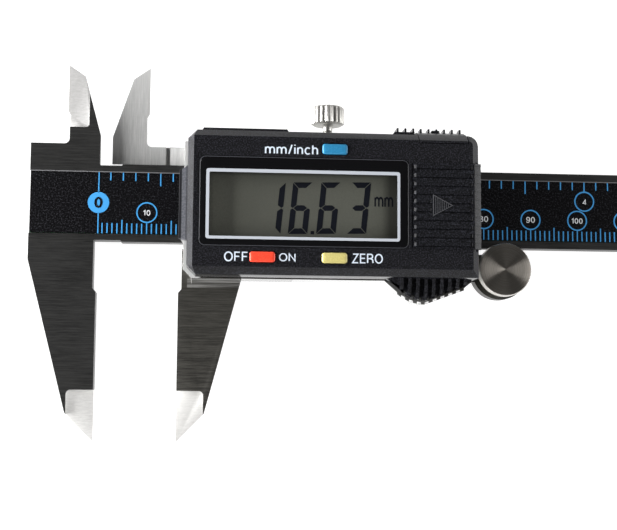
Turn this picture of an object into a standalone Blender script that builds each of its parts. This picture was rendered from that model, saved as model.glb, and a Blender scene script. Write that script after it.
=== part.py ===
# Digital caliper of the 150 mm class, lying on its back with the display up.
# X runs along the beam, Y towards the inside jaws, Z out of the display.
# In the working frame x = 0 is the fixed jaw's measuring face, y = 0 the beam's
# centreline and z = 0 the slider's back. The root empty moves that frame so that
# the world origin is at the bottom centre of the caliper's box.

import math

import bmesh
import bpy
from mathutils import Matrix, Vector

MM = 0.001

# Travel and clearances
MEASURING_RANGE = 150.0 * MM
REST_OPENING = 16.63 * MM
SLIDE_GAP = 0.30 * MM
SEAT_GAP = 0.30 * MM
FIT_GAP = 0.15 * MM
PIN_GAP = 0.10 * MM
OVERCUT = 1.0 * MM

# Beam
BEAM_WIDTH = 16.0 * MM
BEAM_THICKNESS = 3.5 * MM
HEAD_LENGTH = 13.76 * MM
END_RUNOUT = 5.83 * MM
BEAM_CORNER = 0.5 * MM
EDGE_RELIEF = 0.3 * MM
EDGE_RELIEF_LENGTH = 4.7 * MM
SCALE_MARGIN = 1.54 * MM
SCALE_RECESS = 1.0 * MM
SCALE_END_LAND = 3.0 * MM
BOARD_THICKNESS = 0.5 * MM
LABEL_THICKNESS = 0.15 * MM

# Outside jaws
OUTSIDE_JAW_DEPTH = 40.45 * MM
OUTSIDE_TIP_WIDTH = 5.62 * MM
OUTSIDE_TIP_RISE = 5.75 * MM
JAW_RELIEF = 0.65 * MM
JAW_RELIEF_DEPTH = 9.5 * MM
JAW_RELIEF_CHAMFER = 0.8 * MM
FIXED_SHOULDER_DROP = 3.8 * MM
MOVABLE_BASE_WIDTH = 12.9 * MM
MOVABLE_BASE_DROP = 7.1 * MM
OUTSIDE_GROUND_WIDTH = 5.4 * MM
OUTSIDE_GROUND_HEIGHT = 10.4 * MM
OUTSIDE_GROUND_STEP = 0.5 * MM
OUTSIDE_GROUND_EDGE = 1.3 * MM
GROUND_CORNER = 0.9 * MM

# Inside jaws
INSIDE_EDGE = 6.5 * MM
INSIDE_JAW_REACH = 20.7 * MM
INSIDE_EDGE_HEIGHT = 9.7 * MM
INSIDE_RELIEF = 0.5 * MM
INSIDE_RELIEF_CHAMFER = 0.8 * MM
INSIDE_BASE_HEIGHT = 4.1 * MM
INSIDE_ROOT = 0.28 * MM
INSIDE_KNEE_HEIGHT = 6.0 * MM
INSIDE_TIP_WIDTH = 3.4 * MM
INSIDE_TIP_DROP = 2.4 * MM
INSIDE_BACK_WIDTH = 7.5 * MM
INSIDE_FILLET = 1.0 * MM
INSIDE_GROUND_WIDTH = 4.4 * MM
INSIDE_GROUND_HEIGHT = 13.1 * MM
INSIDE_GROUND_STEP = 0.2 * MM
INSIDE_GROUND_EDGE = 1.1 * MM
ARM_GROOVE_OFFSET = 3.9 * MM
ARM_GROOVE_WIDTH = 0.8 * MM
ARM_GROOVE_DEPTH = 0.5 * MM

# Slider frame
FRAME_BACK_WALL = 1.3 * MM
FRAME_HEIGHT = 6.3 * MM
FRAME_LEFT_SETBACK = 0.9 * MM
FRAME_LENGTH = 59.5 * MM
FRAME_TOP = 12.9 * MM
FRAME_BOTTOM = 15.3 * MM
FRAME_CORNER_CUT = 1.8 * MM
LIP_OVERLAP = 1.0 * MM
JAW_FILLET = 1.1 * MM
GIB_THICKNESS = 0.75 * MM
GIB_WIDTH = 3.0 * MM
GIB_END = 1.5 * MM
GIB_SCREW_RADIUS = 1.0 * MM
GIB_SCREW_LENGTH = 2.4 * MM
GIB_SCREW_INSET = 12.5 * MM
GIB_SOCKET_RADIUS = 0.45 * MM
GIB_SOCKET_DEPTH = 0.9 * MM

# Case
CASE_FRONT = 15.0 * MM
CASE_LEFT_OFFSET = 0.8 * MM
CASE_RIGHT_OFFSET = 0.0 * MM
CASE_TOP = 13.9 * MM
CASE_BOTTOM = 15.1 * MM
CASE_CHAMFER = 1.45 * MM
CASE_CHAMFER_DEPTH = 1.7 * MM
CASE_CORNER_CUT = 1.8 * MM
CASE_CORNER_RADIUS = 2.2 * MM
CASE_WALL = 1.3 * MM
CASE_FRONT_WALL = 1.5 * MM

# Display
LENS_LEFT_INSET = 2.2 * MM
LENS_DOOR_GAP = 0.45 * MM
LENS_LOW = -9.7 * MM
LENS_HIGH = 8.45 * MM
LENS_CORNER = 1.2 * MM
LENS_THICKNESS = 0.65 * MM
WINDOW_INSET = 1.8 * MM
WINDOW_LOW_INSET = 1.7 * MM
WINDOW_HIGH_INSET = 2.95 * MM
LCD_THICKNESS = 2.0 * MM
LCD_BORDER = 0.9 * MM
STRIP_WIDTH = 1.6 * MM
STRIP_SETBACK = 1.5 * MM

# Board
BOARD_POCKET_INSET = 2.7 * MM
BOARD_POCKET_END = 0.6 * MM
BOARD_POCKET_RIM = 0.8 * MM
BOARD_POCKET_LOW_RIM = 1.5 * MM
MAIN_BOARD_THICKNESS = 0.7 * MM
CHIP_RADIUS = 3.6 * MM
CHIP_HEIGHT = 1.2 * MM

# Buttons
BUTTON_LENGTH = 5.06 * MM
BUTTON_WIDTH = 2.1 * MM
BUTTON_CORNER = 0.6 * MM
BUTTON_PROUD = 0.35 * MM
BUTTON_FLANGE = 0.55 * MM
BUTTON_FLANGE_THICKNESS = 0.6 * MM
BUTTON_STEM_RADIUS = 0.8 * MM
BUTTON_TRAVEL = 0.5 * MM
DOME_RADIUS = 1.45 * MM
DOME_HEIGHT = 0.5 * MM
RIGHT_BUTTONS_OFFSET = 6.01 * MM
POWER_BUTTON_OFFSET = 8.31 * MM
UNIT_BUTTON_RISE = 1.73 * MM
LOW_BUTTONS_DROP = 2.0 * MM

# Battery and its door
CELL_RADIUS = 5.8 * MM
CELL_HEIGHT = 5.2 * MM
CELL_INSET = 7.48 * MM
CELL_DROP = 0.85 * MM
CELL_CLEARANCE = 0.3 * MM
BATTERY_FLOOR = 0.7 * MM
CONTACT_THICKNESS = 0.25 * MM
CONTACT_WIDTH = 2.4 * MM
DOOR_REACH = 13.93 * MM
DOOR_LOW = -9.3 * MM
DOOR_HIGH = 7.7 * MM
DOOR_THICKNESS = 1.3 * MM
DOOR_OVERHANG = 0.3 * MM
DOOR_TONGUE = 0.45 * MM
DOOR_TONGUE_THICKNESS = 0.5 * MM
DOOR_RIBS = 10
DOOR_RIB_PITCH = 1.74 * MM
DOOR_RIB_WIDTH = 0.95 * MM
DOOR_RIB_HEIGHT = 0.22 * MM
DOOR_RIB_START = 0.15 * MM
ARROW_START = 4.4 * MM
ARROW_LENGTH = 3.75 * MM
ARROW_HALF_HEIGHT = 1.9 * MM

# Data port and its cover
COVER_LENGTH = 9.9 * MM
COVER_INSET = 2.38 * MM
COVER_LOW = 12.0 * MM
COVER_REACH = 15.0 * MM
COVER_BOTTOM = 7.3 * MM
PORT_LENGTH = 6.4 * MM
PORT_DEPTH = 3.2 * MM
PORT_BOTTOM = 8.2 * MM
PORT_TOP = 11.4 * MM
PORT_FINGERS = 4
PORT_FINGER_PITCH = 1.4 * MM

# Grip ribs and pads on the case
PAD_LEFT_INSET = 1.97 * MM
PAD_LEFT_LENGTH = 19.1 * MM
PAD_LEFT_REACH = 1.1 * MM
PAD_RIGHT_LENGTH = 5.25 * MM
PAD_HEIGHT = 3.4 * MM
TOP_RIB_PITCH = 1.62 * MM
TOP_RIB_WIDTH = 0.5 * MM
TOP_RIB_HEIGHT = 0.85 * MM
TOP_RIB_LEAD = 3.75 * MM
PAD_RIBS = 3
COVER_RIBS = 6
GRIP_EDGE = ((-18.23, 0.0), (-15.33, -3.0), (-12.83, -4.4), (-10.03, -4.9), (-1.63, -1.8), (0.57, 0.0))
GRIP_RIBS = 9
GRIP_RIB_PITCH = 1.64 * MM
GRIP_RIB_WIDTH = 0.85 * MM
GRIP_RIB_LEAD = 15.13 * MM
GRIP_GROOVE = 0.45 * MM
GRIP_HEIGHT = 3.2 * MM
GRIP_RIB_RISE = 0.55 * MM
GRIP_SLOPE = 1.6 * MM

# Wiper at the case's left end
WIPER_THICKNESS = 1.45 * MM
WIPER_HEIGHT = 2.8 * MM
WIPER_TAPER = 1.4 * MM

# Depth rod
ROD_WIDTH = 2.6 * MM
ROD_THICKNESS = 1.3 * MM
ROD_ROOT_INSET = 4.0 * MM
ROD_GROOVE_DEPTH = 1.75 * MM
RIVET_RADIUS = 0.75 * MM
RIVET_HEAD_RADIUS = 1.5 * MM
RIVET_HEAD = 0.55 * MM
RIVET_INSET = 2.0 * MM

# Stop at the beam's end
STOP_LENGTH = 6.0 * MM
STOP_THICKNESS = 1.1 * MM
STOP_SCREW_SPACING = 9.6 * MM
SMALL_SCREW_RADIUS = 0.8 * MM
SMALL_HEAD_RADIUS = 1.45 * MM
SMALL_HEAD = 0.7 * MM
STOP_SCREW_BITE = 1.6 * MM

# Case screws
CASE_SCREW_INSET = 3.2 * MM
CASE_SCREW_TOP = 10.9 * MM
CASE_SCREW_BOTTOM = -11.6 * MM
CASE_SCREW_BITE = 3.0 * MM
BOSS_RADIUS = 2.1 * MM

# Thumb wheel
WHEEL_OFFSET = 6.81 * MM
ROLLER_RADIUS = 4.42 * MM
WHEEL_RADIUS = 5.55 * MM
WHEEL_THICKNESS = 2.6 * MM
WHEEL_KNURLS = 48
KNURL_DEPTH = 0.2 * MM
WHEEL_CHAMFER = 0.25 * MM
SHAFT_RADIUS = 1.5 * MM
ARM_THICKNESS = 3.0 * MM
ARM_RADIUS = 5.9 * MM
ARM_EDGE_GAP = 1.2 * MM
CLIP_RADIUS = 2.6 * MM
CLIP_THICKNESS = 0.4 * MM
CLIP_RECESS = 1.0 * MM
CLIP_GROOVE = 0.35 * MM

# Lock screw
LOCK_OFFSET = 0.08 * MM
LOCK_STEM_RADIUS = 1.0 * MM
LOCK_HEAD_RADIUS = 3.5 * MM
LOCK_HEAD_LOW = 17.7 * MM
LOCK_HEAD_HIGH = 21.9 * MM
LOCK_SKIRT = 0.9 * MM
LOCK_CHAMFER = 0.3 * MM
LOCK_KNURLS = 30

# Places that follow from the sizes above
BEAM_BACK = FRAME_BACK_WALL + SLIDE_GAP
BEAM_FRONT = BEAM_BACK + BEAM_THICKNESS
BEAM_EDGE = BEAM_WIDTH / 2
LAP_PLANE = BEAM_BACK + BEAM_THICKNESS / 2
FRAME_LEFT = REST_OPENING + FRAME_LEFT_SETBACK
FRAME_RIGHT = FRAME_LEFT + FRAME_LENGTH
BEAM_TAIL = MEASURING_RANGE + FRAME_RIGHT - REST_OPENING + STOP_LENGTH + END_RUNOUT
OUTSIDE_TIP = -BEAM_EDGE - OUTSIDE_JAW_DEPTH
INSIDE_TIP = BEAM_EDGE + INSIDE_JAW_REACH
CASE_BACK = FRAME_HEIGHT + SEAT_GAP
CASE_LEFT = FRAME_LEFT + CASE_LEFT_OFFSET
CASE_RIGHT = FRAME_RIGHT + CASE_RIGHT_OFFSET
CASE_INNER_FRONT = CASE_FRONT - CASE_FRONT_WALL
LIP_BACK = BEAM_FRONT + SLIDE_GAP
GIB_INNER = BEAM_EDGE + SLIDE_GAP
RAIL_INNER = GIB_INNER + GIB_THICKNESS + SEAT_GAP
POCKET_FLOOR = LIP_BACK - PIN_GAP
BOARD_BACK = POCKET_FLOOR + SEAT_GAP
BOARD_FRONT = BOARD_BACK + MAIN_BOARD_THICKNESS
BOARD_LOW = -FRAME_BOTTOM + BOARD_POCKET_LOW_RIM
BOARD_HIGH = FRAME_TOP - BOARD_POCKET_RIM
DOOR_LEFT = CASE_RIGHT - DOOR_REACH
COVER_LEFT = CASE_RIGHT - COVER_INSET - COVER_LENGTH
TOP_RIB_FIRST = COVER_LEFT - TOP_RIB_LEAD
GRIP_RIB_FIRST = FRAME_RIGHT - GRIP_RIB_LEAD
LENS_LEFT = CASE_LEFT + LENS_LEFT_INSET
LENS_RIGHT = DOOR_LEFT - LENS_DOOR_GAP
LENS_MIDDLE = (LENS_LEFT + LENS_RIGHT) / 2
UNIT_BUTTON_AT = (LENS_MIDDLE + RIGHT_BUTTONS_OFFSET, LENS_HIGH + UNIT_BUTTON_RISE)
POWER_BUTTON_AT = (LENS_MIDDLE - POWER_BUTTON_OFFSET, LENS_LOW - LOW_BUTTONS_DROP)
ZERO_BUTTON_AT = (LENS_MIDDLE + RIGHT_BUTTONS_OFFSET, LENS_LOW - LOW_BUTTONS_DROP)
BOARD_LEFT = FRAME_LEFT + BOARD_POCKET_INSET
BOARD_RIGHT = LENS_RIGHT - BOARD_POCKET_END
LENS_BACK = CASE_FRONT - LENS_THICKNESS - FIT_GAP
LCD_FRONT = CASE_INNER_FRONT - SEAT_GAP
LCD_BACK = LCD_FRONT - LCD_THICKNESS
BATTERY_BOTTOM = CASE_BACK + BATTERY_FLOOR
CELL_AT = (CASE_RIGHT - CELL_INSET, -CELL_DROP)
CELL_BACK = BATTERY_BOTTOM + CONTACT_THICKNESS + 2 * FIT_GAP
DOOR_SEAT = CASE_FRONT - DOOR_THICKNESS - FIT_GAP
CASE_SCREW_XS = (FRAME_LEFT + CASE_SCREW_INSET, FRAME_RIGHT - CASE_SCREW_INSET)
CASE_SCREW_YS = (CASE_SCREW_TOP, CASE_SCREW_BOTTOM)
CASE_SCREW_TIP = CASE_BACK + CASE_SCREW_BITE
WHEEL_AT = (FRAME_RIGHT + WHEEL_OFFSET, -BEAM_EDGE - SLIDE_GAP - ROLLER_RADIUS)
WHEEL_BACK = BEAM_FRONT + SLIDE_GAP
ARM_EDGE = -BEAM_EDGE - ARM_EDGE_GAP
LOCK_AT = (FRAME_LEFT + FRAME_RIGHT) / 2 - LOCK_OFFSET
ROD_LEFT = FRAME_LEFT + ROD_ROOT_INSET
ROD_RIGHT = BEAM_TAIL + REST_OPENING
ROD_BACK = BEAM_BACK + FIT_GAP
STOP_BACK = BEAM_BACK - FIT_GAP - STOP_THICKNESS
STOP_LEFT = BEAM_TAIL - STOP_LENGTH
BOX_CENTRE = Vector(((ROD_RIGHT - HEAD_LENGTH) / 2, (INSIDE_TIP + OUTSIDE_TIP) / 2, 0.0))

ROUND_STEPS = 32
FINE_STEPS = 48
CORNER_STEPS = 4


def clear_scene():
    for obj in list(bpy.data.objects):
        bpy.data.objects.remove(obj, do_unlink=True)


def finish(name, colour, roughness, metallic=0.0):
    material = bpy.data.materials.new(name)
    material.use_nodes = True
    shader = material.node_tree.nodes["Principled BSDF"]
    shader.inputs["Base Color"].default_value = (*colour, 1.0)
    shader.inputs["Roughness"].default_value = roughness
    shader.inputs["Metallic"].default_value = metallic
    return material


def empty(name, place=(0.0, 0.0, 0.0), parent=None):
    obj = bpy.data.objects.new(name, None)
    bpy.context.scene.collection.objects.link(obj)
    obj.parent = parent
    obj.location = place
    return obj


# Outlines

def rounded(corners):
    # Each corner is (x, y) or (x, y, radius); a radius turns it into an arc.
    points = []
    count = len(corners)
    for i, corner in enumerate(corners):
        here = Vector(corner[:2])
        if len(corner) == 2:
            points.append(here)
            continue
        before = (Vector(corners[i - 1][:2]) - here).normalized()
        after = (Vector(corners[(i + 1) % count][:2]) - here).normalized()
        half = before.angle(after) / 2
        centre = here + (before + after).normalized() * (corner[2] / math.sin(half))
        first = here + before * (corner[2] / math.tan(half)) - centre
        sweep = first.angle_signed(here + after * (corner[2] / math.tan(half)) - centre)
        for step in range(CORNER_STEPS + 1):
            turn = Matrix.Rotation(-sweep * step / CORNER_STEPS, 2)
            points.append(centre + turn @ first)
    return points


def rectangle(left, low, right, high, radius=0.0):
    corners = ((left, low), (right, low), (right, high), (left, high))
    if radius:
        return rounded([(*corner, radius) for corner in corners])
    return [Vector(corner) for corner in corners]


def circle(radius, centre=(0.0, 0.0), steps=ROUND_STEPS):
    turns = [2 * math.pi * i / steps for i in range(steps)]
    return [Vector((centre[0] + radius * math.cos(a), centre[1] + radius * math.sin(a))) for a in turns]


def shrunk(outline, distance):
    # Each side moves inwards by the distance and meets its neighbours again.
    points = []
    count = len(outline)
    for i, here in enumerate(outline):
        before = (here - outline[i - 1]).normalized()
        after = (outline[(i + 1) % count] - here).normalized()
        inward = Vector((-before.y - after.y, before.x + after.x)).normalized()
        lean = max(inward.dot(Vector((-before.y, before.x))), 0.2)
        points.append(here + inward * (distance / lean))
    return points


# Solids

AXES = {
    "X": lambda u, v, w: (w, u, v),
    "Y": lambda u, v, w: (u, w, v),
    "Z": lambda u, v, w: (u, v, w),
}


def lofted(name, rings):
    # Rings of equally many points, joined in turn and capped at both ends.
    mesh = bmesh.new()
    rows = [[mesh.verts.new(point) for point in ring] for ring in rings]
    count = len(rows[0])
    for low, high in zip(rows, rows[1:]):
        for i in range(count):
            j = (i + 1) % count
            mesh.faces.new((low[i], low[j], high[j], high[i]))
    mesh.faces.new(rows[0])
    mesh.faces.new(rows[-1])
    bmesh.ops.recalc_face_normals(mesh, faces=mesh.faces)
    data = bpy.data.meshes.new(name)
    mesh.to_mesh(data)
    mesh.free()
    data.shade_smooth()
    data.set_sharp_from_angle(angle=math.radians(30))
    obj = bpy.data.objects.new(name, data)
    bpy.context.scene.collection.objects.link(obj)
    obj.parent = root
    return obj


def extruded(name, outline, low, high, axis="Z"):
    place = AXES[axis]
    return lofted(name, [[place(*point, level) for point in outline] for level in (low, high)])


def chamfered(name, outline, low, high, inset, depth):
    levels = ((outline, low), (outline, high - depth), (shrunk(outline, inset), high))
    return lofted(name, [[(*point, level) for point in ring] for ring, level in levels])


def turned(name, profile, centre, axis="Z", steps=ROUND_STEPS):
    # The profile runs from one end of the axis to the other as (radius, height).
    place = AXES[axis]
    rings = [[place(*point, height) for point in circle(radius, centre, steps)] for radius, height in profile]
    return lofted(name, rings)


def fluted(name, profile, centre, axis, teeth, depth):
    # A turned body whose profile entries are (radius, height, share of the flute depth).
    place = AXES[axis]
    rings = []
    for radius, height, share in profile:
        ring = []
        for i in range(2 * teeth):
            reach = radius - depth * share * (i % 2)
            angle = math.pi * i / teeth
            ring.append(place(centre[0] + reach * math.cos(angle), centre[1] + reach * math.sin(angle), height))
        rings.append(ring)
    return lofted(name, rings)


def combine(target, tools, operation):
    for tool in tools:
        tool.hide_render = True
        tool.display_type = "WIRE"
        tool.hide_set(True)
        step = target.modifiers.new(tool.name, "BOOLEAN")
        step.operation = operation
        step.solver = "EXACT"
        step.object = tool
    return target


def cut(target, *tools):
    return combine(target, tools, "DIFFERENCE")


def join(target, *tools):
    return combine(target, tools, "UNION")


def carried(obj, body, material, pivot=None):
    # The object rides on its body, with its origin at the pivot.
    pivot = Vector(pivot) if pivot else body.location.copy()
    obj.data.transform(Matrix.Translation(-pivot))
    obj.parent = body
    obj.location = pivot - body.location
    obj.data.materials.append(material)
    return obj


# Beam and fixed jaws

def jaw_outline(side, face, back_corner, back_height):
    # An outside jaw: measuring face, relief, tip and sloped back. The side is -1 or +1.
    relief_end = -BEAM_EDGE - JAW_RELIEF_DEPTH
    return [
        (face + side * JAW_RELIEF, relief_end),
        (face, relief_end - JAW_RELIEF_CHAMFER),
        (face, OUTSIDE_TIP),
        (face + side * OUTSIDE_TIP_WIDTH, OUTSIDE_TIP + OUTSIDE_TIP_RISE, 0.8 * MM),
        (back_corner, back_height, 1.0 * MM),
    ]


def inside_edge_outline(side, edge, root_x):
    # The measuring edge of an inside jaw from its base up to the tip.
    base = BEAM_EDGE + INSIDE_BASE_HEIGHT
    relief_x = edge - side * INSIDE_RELIEF
    relief_top = INSIDE_TIP - INSIDE_EDGE_HEIGHT
    return [
        (edge, INSIDE_TIP),
        (edge, relief_top),
        (relief_x, relief_top - INSIDE_RELIEF_CHAMFER),
        (relief_x, base, INSIDE_FILLET),
        (root_x, base),
    ]


def ground_tip(name, face, side, width, low, high, surface, outward, step, edge):
    # A cutter whose floor slopes from a small step down to the thin measuring edge.
    far = face + side * width
    near = face - side * OVERCUT
    corners = [(far, high), (near, high), (near, low), (far, low)]
    if low < 0:
        corners[0] = (far, high, GROUND_CORNER)
    else:
        corners[3] = (far, low, GROUND_CORNER)
    outline = rounded(corners)

    def floor(x):
        share = (x - far) / (face - far)
        return surface - outward * (step + (edge - step) * share)

    floor_ring = [(point.x, point.y, floor(point.x)) for point in outline]
    open_ring = [(point.x, point.y, surface + outward * OVERCUT) for point in outline]
    return lofted(name, [floor_ring, open_ring])


def outside_tip_cutters(name, face, side):
    low = OUTSIDE_TIP - OVERCUT
    high = OUTSIDE_TIP + OUTSIDE_GROUND_HEIGHT
    sizes = (OUTSIDE_GROUND_STEP, OUTSIDE_GROUND_EDGE)
    faces = (("front", BEAM_FRONT, 1), ("back", BEAM_BACK, -1))
    return [
        ground_tip(f"{name}_{where}", face, side, OUTSIDE_GROUND_WIDTH, low, high, surface, outward, *sizes)
        for where, surface, outward in faces
    ]


def inside_tip_cutter(name, edge, side, surface, outward):
    low = INSIDE_TIP - INSIDE_GROUND_HEIGHT
    high = INSIDE_TIP + OVERCUT
    sizes = (INSIDE_GROUND_STEP, INSIDE_GROUND_EDGE)
    return ground_tip(name, edge, side, INSIDE_GROUND_WIDTH, low, high, surface, outward, *sizes)


def beam_outline():
    relief = BEAM_EDGE - EDGE_RELIEF
    relief_end = EDGE_RELIEF_LENGTH + EDGE_RELIEF
    shoulder = -BEAM_EDGE - FIXED_SHOULDER_DROP
    lower = list(reversed(jaw_outline(-1, 0.0, -HEAD_LENGTH, shoulder)))
    bar = [
        (-JAW_RELIEF, -relief),
        (EDGE_RELIEF_LENGTH, -relief),
        (relief_end, -BEAM_EDGE),
        (BEAM_TAIL, -BEAM_EDGE, BEAM_CORNER),
        (BEAM_TAIL, BEAM_EDGE, BEAM_CORNER),
        (relief_end, BEAM_EDGE),
        (EDGE_RELIEF_LENGTH, relief),
    ]
    upper = [
        (INSIDE_ROOT, relief, 0.3 * MM),
        (INSIDE_ROOT, BEAM_EDGE + INSIDE_KNEE_HEIGHT, 1.0 * MM),
        (-INSIDE_EDGE + INSIDE_TIP_WIDTH, INSIDE_TIP - INSIDE_TIP_DROP),
    ]
    return rounded(lower + bar + upper + inside_edge_outline(-1, -INSIDE_EDGE, -HEAD_LENGTH))


def beam(body):
    bar = extruded("beam", beam_outline(), BEAM_BACK, BEAM_FRONT)
    half_lap = extruded(
        "beam_half_lap",
        rectangle(-HEAD_LENGTH - OVERCUT, BEAM_EDGE, REST_OPENING, INSIDE_TIP + OVERCUT),
        BEAM_BACK - OVERCUT,
        LAP_PLANE + SLIDE_GAP / 2,
    )
    label_edge = BEAM_EDGE - SCALE_MARGIN
    recess = extruded(
        "beam_scale_recess",
        rectangle(-HEAD_LENGTH - OVERCUT, -label_edge, BEAM_TAIL - SCALE_END_LAND, label_edge),
        BEAM_FRONT - SCALE_RECESS,
        BEAM_FRONT + OVERCUT,
    )
    groove_edge = ROD_WIDTH / 2 + SLIDE_GAP
    groove = extruded(
        "beam_rod_groove",
        rectangle(ROD_LEFT - REST_OPENING - SEAT_GAP, -groove_edge, BEAM_TAIL + OVERCUT, groove_edge),
        BEAM_BACK - OVERCUT,
        BEAM_BACK + ROD_GROOVE_DEPTH,
    )
    cut(bar, half_lap, recess, groove, *outside_tip_cutters("fixed_outside_tip", 0.0, -1))
    cut(bar, inside_tip_cutter("fixed_inside_tip", -INSIDE_EDGE, 1, BEAM_FRONT, 1))
    for i, y in enumerate(stop_screw_ys()):
        hole = extruded(
            f"beam_stop_hole_{i + 1}",
            circle(SMALL_SCREW_RADIUS + PIN_GAP, (STOP_LEFT + STOP_LENGTH / 2, y)),
            BEAM_BACK - OVERCUT,
            BEAM_BACK + STOP_SCREW_BITE + FIT_GAP,
        )
        cut(bar, hole)
    return carried(bar, body, steel_dark)


def scale_strip(name, floor, thickness, body, material):
    edge = BEAM_EDGE - SCALE_MARGIN - FIT_GAP
    left = -HEAD_LENGTH + FIT_GAP
    right = BEAM_TAIL - SCALE_END_LAND - FIT_GAP
    strip = extruded(name, rectangle(left, -edge, right, edge), floor, floor + thickness)
    return carried(strip, body, material)


def scale_parts(body):
    board_back = BEAM_FRONT - SCALE_RECESS + FIT_GAP
    label_back = board_back + BOARD_THICKNESS + PIN_GAP
    scale_strip("scale_board", board_back, BOARD_THICKNESS, body, board_green)
    scale_strip("scale_label", label_back, LABEL_THICKNESS, body, label_black)


def stop_screw_ys():
    return (-STOP_SCREW_SPACING / 2, STOP_SCREW_SPACING / 2)


def small_screw(name, x, y, head_back, tip, body):
    # A pan head with a cross recess, at the back of what it holds.
    head_front = head_back + SMALL_HEAD
    profile = (
        (SMALL_HEAD_RADIUS * 0.75, head_back),
        (SMALL_HEAD_RADIUS, head_back + SMALL_HEAD * 0.4),
        (SMALL_HEAD_RADIUS, head_front),
        (SMALL_SCREW_RADIUS, head_front),
        (SMALL_SCREW_RADIUS, tip - SMALL_SCREW_RADIUS * 0.5),
        (SMALL_SCREW_RADIUS * 0.5, tip),
    )
    screw = turned(name, profile, (x, y), steps=24)
    reach = SMALL_HEAD_RADIUS * 0.55
    slot = SMALL_HEAD_RADIUS * 0.13
    for i, (across, along) in enumerate(((reach, slot), (slot, reach))):
        bar = rectangle(x - across, y - along, x + across, y + along)
        cut(screw, extruded(f"{name}_recess_{i + 1}", bar, head_back - OVERCUT, head_back + SMALL_HEAD * 0.55))
    return carried(screw, body, steel_bright)


def end_stop(body):
    x = STOP_LEFT + STOP_LENGTH / 2
    edge = BEAM_EDGE - SEAT_GAP
    outline = rectangle(STOP_LEFT, -edge, BEAM_TAIL, edge, BEAM_CORNER)
    plate = extruded("end_stop", outline, STOP_BACK, STOP_BACK + STOP_THICKNESS)
    head_seat = STOP_BACK + STOP_THICKNESS / 2
    for i, y in enumerate(stop_screw_ys()):
        hole = circle(SMALL_SCREW_RADIUS + PIN_GAP, (x, y))
        seat = circle(SMALL_HEAD_RADIUS + FIT_GAP, (x, y))
        cut(
            plate,
            extruded(f"end_stop_hole_{i + 1}", hole, STOP_BACK - OVERCUT, BEAM_BACK),
            extruded(f"end_stop_seat_{i + 1}", seat, STOP_BACK - OVERCUT, head_seat),
        )
        head_back = head_seat - PIN_GAP - SMALL_HEAD
        small_screw(f"end_stop_screw_{i + 1}", x, y, head_back, BEAM_BACK + STOP_SCREW_BITE, body)
    return carried(plate, body, steel_bright)


# Slider frame and movable jaws

def edge_height(x):
    # The thumb grip's lower edge at x, read between points set out from the frame's corner.
    across = (x - FRAME_RIGHT) / MM
    for (x0, y0), (x1, y1) in zip(GRIP_EDGE, GRIP_EDGE[1:]):
        if across <= x1:
            return -FRAME_BOTTOM + (y0 + (y1 - y0) * (across - x0) / (x1 - x0)) * MM
    return -FRAME_BOTTOM


def grip_start():
    return FRAME_RIGHT + GRIP_EDGE[0][0] * MM


def grip_outline(shrink=0.0):
    # Along the thumb grip from left to right, with a notch between two ribs.
    points = [(grip_start() + shrink, -FRAME_BOTTOM + shrink)]
    for i in range(GRIP_RIBS):
        centre = GRIP_RIB_FIRST + i * GRIP_RIB_PITCH
        for x in (centre - GRIP_RIB_WIDTH / 2, centre + GRIP_RIB_WIDTH / 2):
            low = edge_height(x) + shrink
            pair = [(x, low + GRIP_GROOVE), (x, low)]
            points += pair if x < centre else reversed(pair)
    return points


def frame_outline():
    left_corner = FRAME_LEFT + FRAME_CORNER_CUT
    return rounded(
        [(FRAME_LEFT, -FRAME_BOTTOM + FRAME_CORNER_CUT), (left_corner, -FRAME_BOTTOM)]
        + grip_outline()
        + [(FRAME_RIGHT, -FRAME_BOTTOM), (FRAME_RIGHT, FRAME_TOP, 0.8 * MM), (FRAME_LEFT, FRAME_TOP, 0.3 * MM)]
    )


def movable_jaw():
    face = REST_OPENING
    base_y = -BEAM_EDGE - MOVABLE_BASE_DROP
    inner_y = -BEAM_EDGE - SLIDE_GAP - LIP_OVERLAP
    outline = rounded(
        [(face + JAW_RELIEF, inner_y)]
        + jaw_outline(1, face, face + MOVABLE_BASE_WIDTH, base_y)
        + [(face + MOVABLE_BASE_WIDTH, inner_y)]
    )
    jaw = extruded("movable_outside_jaw", outline, BEAM_BACK, BEAM_FRONT)
    return cut(jaw, *outside_tip_cutters("movable_outside_tip", face, 1))


def jaw_fillet(name, level, outward, floor_level):
    # A concave quarter round between the jaw and the thicker frame, run along X.
    low = -FRAME_BOTTOM
    height = abs(floor_level - level)
    radius = min(JAW_FILLET, height)
    centre = (low - radius, level + outward * radius)
    arc = []
    for step in range(CORNER_STEPS + 2):
        angle = math.pi / 2 * step / (CORNER_STEPS + 1)
        arc.append((centre[0] + radius * math.sin(angle), centre[1] - outward * radius * math.cos(angle)))
    inner = level - outward * SEAT_GAP
    outline = arc + [(low + OVERCUT, level + outward * radius), (low + OVERCUT, inner), (low - radius, inner)]
    left = FRAME_LEFT + FRAME_CORNER_CUT
    return extruded(name, outline, left, REST_OPENING + MOVABLE_BASE_WIDTH - SEAT_GAP, "X")


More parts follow.
